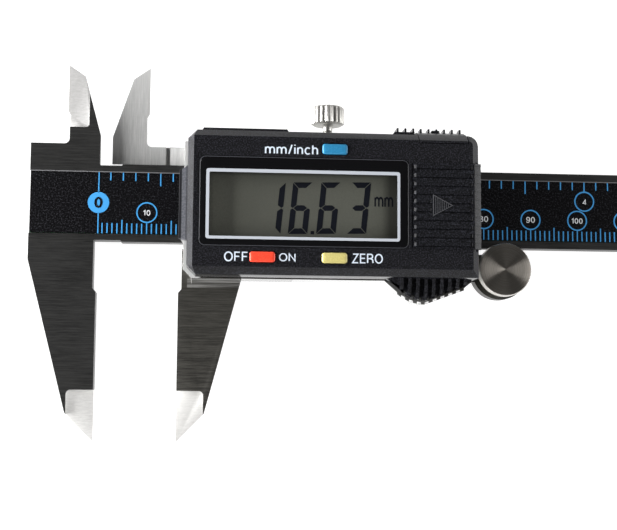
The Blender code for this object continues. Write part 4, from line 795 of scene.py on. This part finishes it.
def makeTrim():
    # the port cover's catch, and the frame's front edge where it flares out to the wiper
    catch = softPlate(*trim["catch"], *trim["catchLevels"])
    addPiece("coverCatch", catch, "case", "port_cover")
    flare = np.array(trim["flare"])
    rings = [np.column_stack([flare, np.full(len(flare), level)]) for level in trim["flareLevels"]]
    addPiece("frameFlare", loft(rings), "slider", "slider")


makeTrim()
print("stage: edges rounded")

# Lettering


def arc(x, y, wide, high, start, end, count=16):
    # part of an ellipse from one angle in degrees to another
    angle = np.radians(np.linspace(start, end, count))
    return np.stack([x + wide * np.cos(angle), y + high * np.sin(angle)], -1)


def path(*pieces):
    return np.concatenate([np.atleast_2d(np.asarray(piece, float)) for piece in pieces])


# Centrelines of plain sans letters, one unit tall: the advance, then the strokes
glyphs = {
    "0": (0.52, [arc(0.26, 0.5, 0.26, 0.5, 0, 360, 40)]),
    "1": (0.30, [path((0.0, 0.76), (0.24, 1.0), (0.24, 0.0))]),
    "2": (0.52, [path(arc(0.26, 0.73, 0.25, 0.27, 165, -25), (0.0, 0.0), (0.52, 0.0))]),
    "3": (0.52, [path(arc(0.25, 0.75, 0.22, 0.25, 160, -80), (0.2, 0.53)),
                 arc(0.25, 0.27, 0.26, 0.27, 100, -160)]),
    "4": (0.54, [path((0.54, 0.26), (0.0, 0.26), (0.40, 1.0), (0.40, 0.0))]),
    "5": (0.52, [path((0.48, 1.0), (0.1, 1.0), (0.04, 0.50), arc(0.25, 0.31, 0.26, 0.31, 130, -155))]),
    "6": (0.52, [arc(0.26, 0.30, 0.25, 0.30, 0, 360, 36),
                 path(arc(0.30, 0.58, 0.29, 0.42, 40, 180), (0.01, 0.32))]),
    "7": (0.50, [path((0.0, 1.0), (0.5, 1.0), (0.18, 0.0))]),
    "8": (0.52, [arc(0.26, 0.75, 0.21, 0.25, 0, 360, 32), arc(0.26, 0.26, 0.26, 0.26, 0, 360, 36)]),
    "9": (0.52, [arc(0.26, 0.70, 0.25, 0.30, 0, 360, 36),
                 path(arc(0.22, 0.42, 0.29, 0.42, -140, 0), (0.51, 0.68))]),
    "O": (0.78, [arc(0.39, 0.5, 0.39, 0.5, 0, 360, 48)]),
    "F": (0.52, [path((0.52, 1.0), (0.0, 1.0), (0.0, 0.0)), path((0.0, 0.52), (0.46, 0.52))]),
    "N": (0.62, [path((0.0, 0.0), (0.0, 1.0), (0.62, 0.0), (0.62, 1.0))]),
    "Z": (0.62, [path((0.03, 1.0), (0.60, 1.0), (0.0, 0.0), (0.62, 0.0))]),
    "E": (0.54, [path((0.54, 1.0), (0.0, 1.0), (0.0, 0.0), (0.56, 0.0)), path((0.0, 0.52), (0.50, 0.52))]),
    "R": (0.62, [path((0.0, 0.0), (0.0, 1.0), (0.34, 1.0), arc(0.34, 0.76, 0.23, 0.24, 85, -90), (0.0, 0.48)),
                 path((0.34, 0.48), arc(0.42, 0.28, 0.16, 0.16, 60, 10, 6), (0.62, 0.0))]),
    "m": (0.86, [path((0.0, 0.0), (0.0, 0.72)),
                 path((0.0, 0.40), arc(0.21, 0.44, 0.21, 0.27, 170, 0), (0.42, 0.0)),
                 path((0.42, 0.40), arc(0.64, 0.44, 0.21, 0.27, 170, 0), (0.85, 0.0))]),
    "n": (0.46, [path((0.0, 0.0), (0.0, 0.72)),
                 path((0.0, 0.40), arc(0.23, 0.44, 0.22, 0.27, 170, 0), (0.45, 0.0))]),
    "h": (0.46, [path((0.0, 0.0), (0.0, 1.0)),
                 path((0.0, 0.40), arc(0.23, 0.44, 0.22, 0.27, 170, 0), (0.45, 0.0))]),
    "i": (0.02, [path((0.01, 0.0), (0.01, 0.72)), path((0.01, 0.93), (0.01, 1.04))]),
    "c": (0.46, [arc(0.25, 0.36, 0.25, 0.36, 45, 315, 28)]),
    "/": (0.30, [path((0.0, -0.02), (0.30, 1.02))]),
}


def stroke(line, width, bottom, top):
    # a flat ribbon: the line moved half a width to each side along its mitred normal
    loop = np.allclose(line[0], line[-1])
    if loop:
        line = line[:-1]
        before, after = np.roll(line, 1, axis=0), np.roll(line, -1, axis=0)
    else:
        before = np.concatenate([2 * line[:1] - line[1:2], line[:-1]])
        after = np.concatenate([line[1:], 2 * line[-1:] - line[-2:-1]])
    ahead = (after - line) / np.linalg.norm(after - line, axis=1, keepdims=True)
    behind = (line - before) / np.linalg.norm(line - before, axis=1, keepdims=True)
    side = np.stack([-(ahead + behind)[:, 1], (ahead + behind)[:, 0]], -1)
    side /= np.linalg.norm(side, axis=1, keepdims=True)
    reach = np.abs(side[:, 0] * -ahead[:, 1] + side[:, 1] * ahead[:, 0])
    side = side * (width / 2 / np.maximum(reach, 0.38))[:, None]
    low, high = np.full((len(line), 1), bottom), np.full((len(line), 1), top)
    ring = np.stack([np.hstack([line - side, low]), np.hstack([line + side, low]),
                     np.hstack([line + side, high]), np.hstack([line - side, high])], 1)
    return band(ring) if loop else loft(ring)


def lettering(text, left, low, right, high, level, thick, weight=0.145, gap=0.13):
    # strokes set side by side, then fitted to a measured box in print of that thickness;
    # with no right side the text is centred on left, at 1.18 times its natural width
    solids = []
    pen = 0.0
    for letter in text:
        advance, lines = glyphs[letter]
        for rank, line in enumerate(lines):
            solids.append(stroke(line + (pen, 0), weight, 0.0, 1.0 + 0.06 * rank))
        pen += advance + weight + gap
    points, faces = together(*solids)
    least, most = points.min(0), points.max(0)
    share = (points - least) / (most - least)
    if right is None:
        width = 1.18 * (high - low) * (most[0] - least[0]) / (most[1] - least[1])
        left = left - width / 2
    else:
        width = right - left
    size = np.array([width, high - low, thick])
    return np.array([left, low, level]) + share * size, faces


# Scale on the beam

scale = {
    "film": 5.0,  # mm, the film's front
    "ink": 0.02,
    "edge": 6.30,
    "tick": 0.24,
    "mmLength": 2.1,
    "fiveLength": 2.8,
    "inchLength": 1.7,
    "halfLength": 2.7,
    "ringRow": -1.9,
    "inchRow": 2.2,
    "ring": (1.88, 2.15),
    "dot": 2.17,
    "zero": 0.16,
    "inch": 25.4,
    "range": 150,
    "digitHeight": 1.25,
    "zeroHeight": 2.3,
    "rim": (6.37, 0.17, 4.98, 5.14),  # the recess's upper edge, painted pale as a highlight: y, width, bottom, top
    "rimEnds": (-13.6, 12.5, 120.0),
}


def bars(left, low, right, high, bottom, top):
    # many small boxes at once: the eight corners of each from its limits
    limits = np.broadcast_arrays(*np.atleast_1d(left, low, right, high, bottom, top))
    x0, y0, x1, y1, z0, z1 = limits
    around = ((x0, y0), (x1, y0), (x1, y1), (x0, y1))
    corners = np.stack([np.stack([x, y, z], -1) for z in (z0, z1) for x, y in around], 1)
    sides = np.array([[0, 3, 2, 1], [4, 5, 6, 7], [0, 1, 5, 4], [1, 2, 6, 5], [2, 3, 7, 6], [3, 0, 4, 7]])
    faces = (sides[None] + 8 * np.arange(len(x0))[:, None, None]).reshape(-1, 4)
    return corners.reshape(-1, 3), faces.tolist()


def roundRing(centre, radius, level, steps):
    # a circle: centre + radius * (cos, sin) at one level
    angle = np.linspace(0, 2 * math.pi, steps, endpoint=False)
    x = centre[0] + radius * np.cos(angle)
    y = centre[1] + radius * np.sin(angle)
    return np.stack([x, y, np.full(steps, level)], -1)


def washer(centre, inner, outer, bottom, top, steps=40):
    corners = ((inner, bottom), (outer, bottom), (outer, top), (inner, top))
    return band([roundRing(centre, radius, level, steps) for radius, level in corners])


def disc(centre, radius, bottom, top, steps=48):
    return loft([roundRing(centre, radius, level, steps) for level in (bottom, top)])


def makeScale():
    # a tick at each millimetre and tenth of an inch, longer at every fifth, and a ringed
    # number at every tenth
    low, high = scale["film"] - 0.01, scale["film"] + scale["ink"]
    half = scale["tick"] / 2
    edge = scale["edge"]
    count = np.arange(1, scale["range"] + 1)
    join = scale["ring"][1] - 0.05  # where a tick runs into a ring, from the ring's centre
    fives = np.where(count % 5 == 0, scale["fiveLength"], scale["mmLength"])
    reach = np.where(count % 10 == 0, scale["ringRow"] - join + edge, fives)
    fine = bars(count - half, -edge, count + half, -edge + reach, low, high)
    tenths = np.arange(1, 61)
    at = tenths * scale["inch"] / 10
    halves = np.where(tenths % 5 == 0, scale["halfLength"], scale["inchLength"])
    drop = np.where(tenths % 10 == 0, edge - scale["inchRow"] - join, halves)
    inches = bars(at - half, edge - drop, at + half, edge, low, high)
    dot = scale["dot"]
    origin = scale["zero"]
    zero = bars([origin - half] * 2, [-edge, dot - 0.1], [origin + half] * 2, [0.1 - dot, edge], low, high)
    numbered = [(str(x), x, scale["ringRow"]) for x in range(10, scale["range"] + 1, 10)]
    numbered += [(str(n), scale["inch"] * n, scale["inchRow"]) for n in range(1, 7)]
    rings = [washer((x, y), *scale["ring"], low, high) for _, x, y in numbered]
    blue = together(fine, inches, zero, *rings, disc((origin, 0.0), dot, low, high))
    addPiece("scaleMarks", blue, "scaleBlue", "beam_body")
    # a pale strip along the recess's upper edge: a painted highlight
    y, width, bottom, top = scale["rim"]
    rim = stroke(np.array([(x, y) for x in scale["rimEnds"]]), width, bottom, top)
    addPiece("recessEdge", rim, "recessEdgeHighlight", "beam_body")
    tall = scale["digitHeight"] / 2
    numbers = [lettering(word, x, y - tall, None, y + tall, low, high - low, 0.15) for word, x, y in numbered]
    addPiece("scaleNumbers", together(*numbers), "scaleWhite", "beam_body")
    tall = scale["zeroHeight"] / 2
    zeroMark = lettering("0", origin, -tall, None, tall, high - 0.01, 0.03, 0.22)
    addPiece("scaleZero", zeroMark, "film", "beam_body")


makeScale()
print("stage: scale printed")

# Display

display = {
    "lens": (20.68, -9.55, 62.50, 8.30, 1.2),  # left, low, right, high, corner radius
    "levels": (14.35, 15.0),
    "edge": 0.05,
    "rim": 0.13,  # the lens's cut edge, painted as a thin pale line for the light it catches
    "silverOuter": (22.02, -8.20, 60.75, 5.82, 0.5),
    "silverInner": (22.65, -7.64, 60.2, 5.15, 0.25),
    "print": 0.02,
}


def makeLens():
    # the lens is a black printed border round a clear window
    left, low, right, high, radius = display["lens"]
    back, front = display["levels"]
    edge = display["edge"]
    inner = display["silverInner"]
    rim = display["rim"]
    left, low, right, high, radius = left + rim, low + rim, right - rim, high - rim, radius - rim
    rings = [roundedRing(*inner, back), roundedRing(left, low, right, high, radius, back)]
    for angle in np.linspace(0, math.pi / 2, 5):
        inset = edge * (1 - math.cos(angle))
        rings.append(roundedRing(left + inset, low + inset, right - inset, high - inset, radius - inset,
                                 front - edge * (1 - math.sin(angle))))
    rings.append(roundedRing(*inner, front))
    border = addPiece("lensBorder", band(rings), "lens", "slider")
    inside = (left, low, right, high, radius)
    outside = (left - rim, low - rim, right + rim, high + rim, radius + rim)
    # the cut edge, painted pale as a highlight of the light it catches
    highlightRing = [roundedRing(*inside, back), roundedRing(*outside, back),
               roundedRing(*outside, front - 0.05), roundedRing(*inside, front - 0.01)]
    addPiece("lensRimHighlight", band(highlightRing), "lensRimHighlight", "slider")
    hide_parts("display_lens")
    left, low, right, high, radius = inner
    gap = 0.02
    pane = softPlate(left + gap, low + gap, right - gap, high - gap, radius, back, front - 0.05, 0.05)
    addPiece("lensWindow", pane, "pane", "slider")
    outer = display["silverOuter"]
    top = front + display["print"]
    silver = [roundedRing(*inner, front - 0.01), roundedRing(*outer, front - 0.01),
              roundedRing(*outer, top), roundedRing(*inner, top)]
    addPiece("silverFrame", band(silver), "silverPrint", "slider")


makeLens()

digits = {
    "glass": 13.2,  # mm, the LCD's front
    "ink": 0.02,
    "low": -6.86,
    "high": 3.55,
    "stroke": 1.12,
    "gap": 0.10,
    "lean": math.tan(math.radians(5.6)),
    "climb": 0.0205,  # the reading runs up slightly to the right in the photograph
    "climbFrom": 37.0,
    "reading": [("1", 32.95, 36.9), ("6", 38.38, 42.28), ("6", 44.05, 47.95), ("3", 50.2, 54.1)],
    "point": (42.95, -6.8, 43.65, -6.15),  # left, low, right, high
    "unit": (55.8, -0.95, 59.6, 1.05),
}

segmentsOf = {"1": "bc", "6": "afedcg", "3": "abgcd"}


def segmentShapes(width, height, stroke, gap):
    # the seven mitred strokes of a digit as corner lists in a box from (0, 0)
    w, h, t, g, m = width, height, stroke, gap, height / 2
    return {
        "a": [(g, h), (w - g, h), (w - t - g, h - t), (t + g, h - t)],
        "d": [(t + g, t), (w - t - g, t), (w - g, 0), (g, 0)],
        "f": [(0, h - g), (t, h - t - g), (t, m + t / 2 + g / 2),
              (t * 0.35, m + g / 2), (0, m + g / 2 + t * 0.25)],
        "e": [(0, m - g / 2 - t * 0.25), (t * 0.35, m - g / 2), (t, m - t / 2 - g / 2), (t, t + g), (0, g)],
        "b": [(w, h - g), (w, m + g / 2 + t * 0.25), (w - t * 0.35, m + g / 2),
              (w - t, m + t / 2 + g / 2), (w - t, h - t - g)],
        "c": [(w, m - g / 2 - t * 0.25), (w, g), (w - t, t + g),
              (w - t, m - t / 2 - g / 2), (w - t * 0.35, m - g / 2)],
        "g": [(t * 0.45 + g, m), (t + g * 1.4, m + t / 2), (w - t - g * 1.4, m + t / 2),
              (w - t * 0.45 - g, m), (w - t - g * 1.4, m - t / 2), (t + g * 1.4, m - t / 2)],
    }


def digit(figure, left, right):
    # strokes of one figure, leaned over and lifted with the line of the reading
    low, high = digits["low"], digits["high"]
    shapes = segmentShapes(right - left, high - low, digits["stroke"], digits["gap"])
    solids = []
    for key in segmentsOf[figure]:
        ring = np.array(shapes[key], float)
        x = left + ring[:, 0] + ring[:, 1] * digits["lean"]
        y = low + ring[:, 1] + (x - digits["climbFrom"]) * digits["climb"]
        flat = np.stack([x, y, np.full(len(x), digits["glass"] - 0.01)], -1)
        solids.append(loft([flat, flat + (0, 0, digits["ink"] + 0.01)]))
    return solids


def makeReading():
    solids = [part for figure in digits["reading"] for part in digit(*figure)]
    low = digits["glass"] - 0.01
    point = bars(*digits["point"], low, digits["glass"] + digits["ink"])
    unit = lettering("mm", *digits["unit"], low, digits["ink"] + 0.01, 0.165, 0.1)
    addPiece("lcdReading", together(*solids, point, unit), "lcdInk", "slider")


makeReading()
print("stage: display")

# Words on the case

words = {
    "level": 15.0,
    "ink": 0.02,
    "mm/inch": (33.56, 8.94, 44.19, 10.91),
    "OFF": (25.74, -12.68, 30.35, -10.72),
    "ON": (36.56, -12.68, 39.86, -10.72),
    "ZERO": (51.0, -12.68, 57.26, -10.72),
}


def makeWords():
    solids = [lettering(text, *words[text], words["level"] - 0.01, words["ink"] + 0.01)
              for text in ("mm/inch", "OFF", "ON", "ZERO")]
    addPiece("caseWords", together(*solids), "letterPrint", "slider")


makeWords()

# Buttons

buttons = {
    "size": (5.06, 2.10, 0.55),
    "back": 12.75,
    "top": 15.35,
    "edge": 0.32,
    "dome": 0.06,
    "flange": (0.55, 0.28),
    "stem": 0.8,
    "foot": 7.6,
    "unit": ((47.6, 10.18), "blueButton", "blue_button"),
    "power": ((33.28, -11.70), "redButton", "red_button"),
    "zero": ((47.6, -11.70), "yellowButton", "yellow_button"),
}


def makeButton(name):
    # a soft cap on its flange, with the stem that reaches down to the contact dome
    (x, y), paint, slot = buttons[name]
    length, width, radius = buttons["size"]
    back = buttons["back"]
    cap = softPlate(x - length / 2, y - width / 2, x + length / 2, y + width / 2, radius,
                    back + 0.5, buttons["top"], buttons["edge"], buttons["dome"])
    length += 2 * buttons["flange"][0]
    width += 2 * buttons["flange"][1]
    flange = softPlate(x - length / 2, y - width / 2, x + length / 2, y + width / 2, 0.5,
                       back, back + 0.6, 0.1)
    foot, stem = buttons["foot"], buttons["stem"]
    profile = [(stem - 0.15, foot, 0), (stem, foot + 0.15, 0), (stem, back + 0.1, 0)]
    stem = loft(turnedRings(profile, (x, y), "Z", steps=24))
    piece = addPiece(name + "ButtonCap", together(cap, flange, stem), paint, name + "_button", 40)
    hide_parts(name + "_button")


for name in ("unit", "power", "zero"):
    makeButton(name)
print("stage: words and buttons")

# Battery door

door = {
    "left": 63.25, "right": 77.33, "low": -9.07, "high": 7.47,
    "back": 13.70,
    "flat": 15.0,
    "plate": 15.22,
    "ribs": 10,
    "pitch": 1.74,
    "ribHalf": 0.37,
    "rise": 0.04,  # of each rib over the plate
    "groove": (0.20, 0.35),  # width and depth of the line under each rib
    "foot": 14.80,  # where the ramp at a rib's left end starts
    "rampStart": 63.40, "rampEnd": 63.98,
    "notch": (75.02, 75.36, 0.30),  # the small ramp at a rib's right end, and its depth
    "mark": (66.72, 66.96, 0.22),  # the same ramp where a rib meets the arrow
    "ribEnd": 75.5,
    "chamfer": (1.45, 0.85),
    "tongue": (0.3, 0.45),  # drawn in at the ends, and out past the sides under the rails
    "arrow": (67.45, 71.3, 2.05, -0.75),  # base, tip, half height, middle
    "arrowLevels": (-0.05, 0.11, 0.09),  # under and over the plate, and the bed's drop
    "arrowLines": (0.17, 0.13),  # widths of its outline and its bars
    "arrowBars": (0.12, 0.78, 7),  # first and last, from base to tip, and how many
}


def doorHeight(x, y):
    # height of the door's face: low ribs, each with a dark line under it and ramps that
    # face left at its ends, and a chamfer down to the right
    middle = (door["low"] + door["high"]) / 2
    start = middle - door["pitch"] * (door["ribs"] - 1) / 2
    rank = np.floor((y - start) / door["pitch"] + 0.5)
    off = y - start - rank * door["pitch"]
    inside = (rank >= 0) & (rank < door["ribs"])
    rib = (np.abs(off) < door["ribHalf"]) & inside
    wide, deep = door["groove"]
    line = (off < -door["ribHalf"]) & (off > -door["ribHalf"] - wide) & inside
    field = (x > door["rampEnd"]) & (x < door["ribEnd"])
    height = np.where(field | ((x > door["rampStart"]) & ~rib), door["plate"], door["flat"])
    crest = door["plate"] + door["rise"]
    height = np.where(rib & field, crest, height)
    height = np.where(line & field, door["plate"] - deep, height)
    climb = np.clip((x - door["rampStart"]) / (door["rampEnd"] - door["rampStart"]), 0, 1)
    ramp = rib & (x > door["rampStart"]) & (x <= door["rampEnd"])
    height = np.where(ramp, door["foot"] + (crest - door["foot"]) * climb, height)
    beside = rib & ((rank == 4) | (rank == 5))  # the two ribs that the arrow stands on
    for name, ribs in (("notch", rib), ("mark", beside)):
        first, last, depth = door[name]
        dip = ribs & (x > first) & (x < last)
        height = np.where(dip, crest - depth * (last - x) / (last - first), height)
    run, drop = door["chamfer"]
    fall = np.clip((x - (door["right"] - run)) / run, 0, 1) * drop
    return height - fall


def steppedLines(breaks, spacing):
    # lines close to both sides of each break, and a spacing apart between them
    breaks = np.sort(np.unique(np.round(breaks, 4)))
    close = 0.004
    lines = []
    for start, end in zip(breaks, breaks[1:]):
        count = max(2, int((end - start) / spacing) + 1)
        lines.append(np.linspace(start + close, end - close, count))
    return np.concatenate([breaks[:1], *lines, breaks[-1:]])


def makeDoor():
    # the face on a grid whose lines lie along every step, with a skirt down to its back
    middle = (door["low"] + door["high"]) / 2
    steps = [door["left"], door["rampStart"], door["rampEnd"], *door["mark"][:2], *door["notch"][:2],
             door["ribEnd"], door["right"] - door["chamfer"][0], door["right"]]
    xs = steppedLines(np.array(steps), 1.0)
    start = middle - door["pitch"] * (door["ribs"] - 1) / 2
    centres = start + door["pitch"] * np.arange(door["ribs"])
    offsets = np.array([-door["ribHalf"] - door["groove"][0], -door["ribHalf"], door["ribHalf"]])
    ends = [start - door["pitch"] / 2, start + door["pitch"] * (door["ribs"] - 0.5)]
    lines = [*(centres[:, None] + offsets).ravel(), door["low"], door["high"], *ends]
    ys = steppedLines(np.array(lines), 2.0)
    x, y = np.meshgrid(xs, ys, indexing="ij")
    top = np.stack([x, y, doorHeight(x, y)], -1)
    rows, columns = x.shape
    points = top.reshape(-1, 3)
    faces = gridFaces(rows, columns, wrap=False)
    edge = np.concatenate([np.arange(columns), np.arange(1, rows) * columns + columns - 1,
                           (rows - 1) * columns + np.arange(columns - 2, -1, -1),
                           np.arange(rows - 2, 0, -1) * columns])
    foot = points[edge].copy()
    foot[:, 2] = door["back"]
    first = len(points)
    count = len(edge)
    around = np.arange(count)
    skirt = np.stack([edge, np.roll(edge, -1), first + (around + 1) % count, first + around], -1).tolist()
    shell = (np.concatenate([points, foot]), faces + skirt + [list(range(first, first + count))])
    inset, beyond = door["tongue"]
    tongue = bars([door["left"] + inset], [door["low"] - beyond], [door["right"] - inset],
                  [door["high"] + beyond], [door["back"] + 0.08], [door["back"] + 0.5])
    piece = addPiece("doorShell", together(shell, tongue), "door", "battery_door", 20)
    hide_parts("battery_door")


def makeArrow():
    # a raised triangle: its outline, then upright bars whose length follows the slope
    base, tip, half, middle = door["arrow"]
    under, over, drop = door["arrowLevels"]
    low, high = door["plate"] + under, door["plate"] + over
    outline = np.array([(base, middle - half), (tip, middle), (base, middle + half), (base, middle - half)])
    # the outline and bars are painted paler, a painted highlight on the raised ridges' edges
    outer, inner = door["arrowLines"]
    solids = [stroke(outline, outer, low, high)]
    for share in np.linspace(*door["arrowBars"]):
        x = base + (tip - base) * share
        reach = half * (1 - share)
        solids.append(stroke(np.array([(x, middle - reach), (x, middle + reach)]), inner, low, high))
    addPiece("doorArrow", together(*solids), "arrow", "battery_door", 20)
    bed = [np.column_stack([outline[:3], np.full(3, level)]) for level in (low, high - drop)]
    addPiece("doorArrowBed", loft(bed), "door", "battery_door", 20)


makeDoor()
makeArrow()
print("stage: battery door")

# Thumb wheel


def makeWheel():
    low, high = wheel["levels"]
    rim, roller, shaft = wheel["radius"], wheel["roller"], wheel["shaft"]
    # radius, height and share of the knurls, from the shaft's end up to the middle of the face
    shaftRows = [(shaft * 0.8, 0.15, 0), (shaft, 0.3, 0), (shaft, 0.375, 0), (shaft - 0.35, 0.375, 0),
                 (shaft - 0.35, 0.925, 0), (shaft, 0.925, 0), (shaft, 3.3, 0)]
    rollerRows = [(roller - 0.15, 3.3, 0), (roller, 3.45, 1), (roller, low - 0.05, 1), (roller - 0.1, low, 0)]
    rimRows = [(rim - 0.3, low, 0), (rim - 0.05, low + 0.2, 0.6), (rim, low + 0.4, 1), (rim, high - 0.3, 1),
               (rim - 0.03, high - 0.12, 1), (rim - 0.12, high - 0.02, 0.8), (rim - 0.3, high, 0)]
    faceRows = [(rim * 0.7, high - 0.012, 0), (rim * 0.4, high - 0.02, 0),
                (0.12, high - 0.03, 0), (0.05, high - 0.05, 0)]
    profile = shaftRows + rollerRows + rimRows + faceRows
    rings = turnedRings(profile, wheel["centre"], "Z", wheel["knurls"], wheel["knurlDepth"], sharp=0.8)
    piece = addPiece("turnedWheel", loft(rings), "turned", "thumb_wheel", 35, uv=True)
    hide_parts("thumb_wheel")


makeWheel()

# Lock screw

lock = {
    "x": 47.2, "z": 3.35,
    "tip": 9.2,
    "neck": 17.42, "skirt": 17.75, "top": 21.32,
    "radius": 3.48, "stem": 1.0,
    "flutes": 22, "depth": 0.24,
    "thread": (9.5, 16.3, 0.5, 0.12),  # from, to, pitch, depth
}


def makeLock():
    # threaded stem, a cone under the head, then rounded flutes and a small chamfer
    radius, stem = lock["radius"], lock["stem"]
    neck, skirt, top = lock["neck"], lock["skirt"], lock["top"]
    start, end, pitch, cut = lock["thread"]
    turns = np.arange(start, end, pitch / 2)
    threads = [(stem - cut * (i % 2), y, 0) for i, y in enumerate(turns)]
    shank = [(stem * 0.6, lock["tip"], 0), *threads, (stem, end, 0), (stem, neck - 0.35, 0)]
    under = [(stem + 0.35, neck, 0), (radius - 1.0, neck - 0.02, 0), (radius - 0.55, neck + 0.04, 0),
             (radius - 0.25, skirt - 0.05, 0.5)]
    head = [(radius, skirt, 1), (radius, skirt + 0.12, 1), (radius, top - 0.38, 1),
            (radius - 0.06, top - 0.28, 0.9), (radius - 0.38, top - 0.04, 0), (radius - 0.5, top, 0),
            (radius * 0.3, top, 0)]
    profile = shank + under + head
    rings = turnedRings(profile, (lock["x"], lock["z"]), "Y", lock["flutes"], lock["depth"], sharp=1.6)
    piece = addPiece("flutedLock", loft(rings), "nickel", "lock_screw", 40)
    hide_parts("lock_screw")


makeLock()
print("stage: wheel and lock screw")

# Floor and sky


def stageFloor():
    # pale floor that keeps the object's shadow and reads as plain white to the camera
    mesh = shape.meshes.new("floor")
    size = 3.0  # metres
    corners = [(-size, -size, 0), (size, -size, 0), (size, size, 0), (-size, size, 0)]
    mesh.from_pydata(corners, [], [(0, 1, 2, 3)])
    floor = shape.objects.new("floor", mesh)
    bpy.context.scene.collection.objects.link(floor)
    material = shape.materials.new("paleFloor")
    material.use_nodes = True
    tree = material.node_tree
    tree.nodes.clear()
    output = tree.nodes.new("ShaderNodeOutputMaterial")
    diffuse = tree.nodes.new("ShaderNodeBsdfDiffuse")
    diffuse.inputs["Color"].default_value = (studio["floor"],) * 3 + (1,)
    glow = tree.nodes.new("ShaderNodeEmission")
    rays = tree.nodes.new("ShaderNodeLightPath")
    seen = tree.nodes.new("ShaderNodeMath")
    seen.operation = "MAXIMUM"
    tree.links.new(rays.outputs["Is Camera Ray"], seen.inputs[0])
    tree.links.new(rays.outputs["Is Glossy Ray"], seen.inputs[1])
    level = tree.nodes.new("ShaderNodeMath")
    level.operation = "MULTIPLY"
    level.inputs[1].default_value = studio["glow"]
    tree.links.new(seen.outputs[0], level.inputs[0])
    tree.links.new(level.outputs[0], glow.inputs["Strength"])
    add = tree.nodes.new("ShaderNodeAddShader")
    tree.links.new(diffuse.outputs[0], add.inputs[0])
    tree.links.new(glow.outputs[0], add.inputs[1])
    tree.links.new(add.outputs[0], output.inputs["Surface"])
    mesh.materials.append(material)


def stageSky():
    # bright near the horizon and dark overhead, as a studio's ceiling is
    world = shape.worlds.new("studioSky")
    world.use_nodes = True
    bpy.context.scene.world = world
    tree = world.node_tree
    heading = tree.nodes.new("ShaderNodeTexCoord")
    split = tree.nodes.new("ShaderNodeSeparateXYZ")
    tree.links.new(heading.outputs["Generated"], split.inputs[0])
    level = tree.nodes.new("ShaderNodeMapRange")
    level.interpolation_type = "SMOOTHSTEP"
    level.inputs["From Min"].default_value = studio["fade"][0]
    level.inputs["From Max"].default_value = studio["fade"][1]
    level.inputs["To Min"].default_value = studio["horizon"]
    level.inputs["To Max"].default_value = studio["ceiling"]
    tree.links.new(split.outputs["Z"], level.inputs["Value"])
    back = tree.nodes["Background"]
    back.inputs["Color"].default_value = (1, 1, 1, 1)
    tree.links.new(level.outputs[0], back.inputs["Strength"])


stageFloor()
stageSky()
bpy.context.scene.view_settings.view_transform = "Standard"

print("stage: finished")
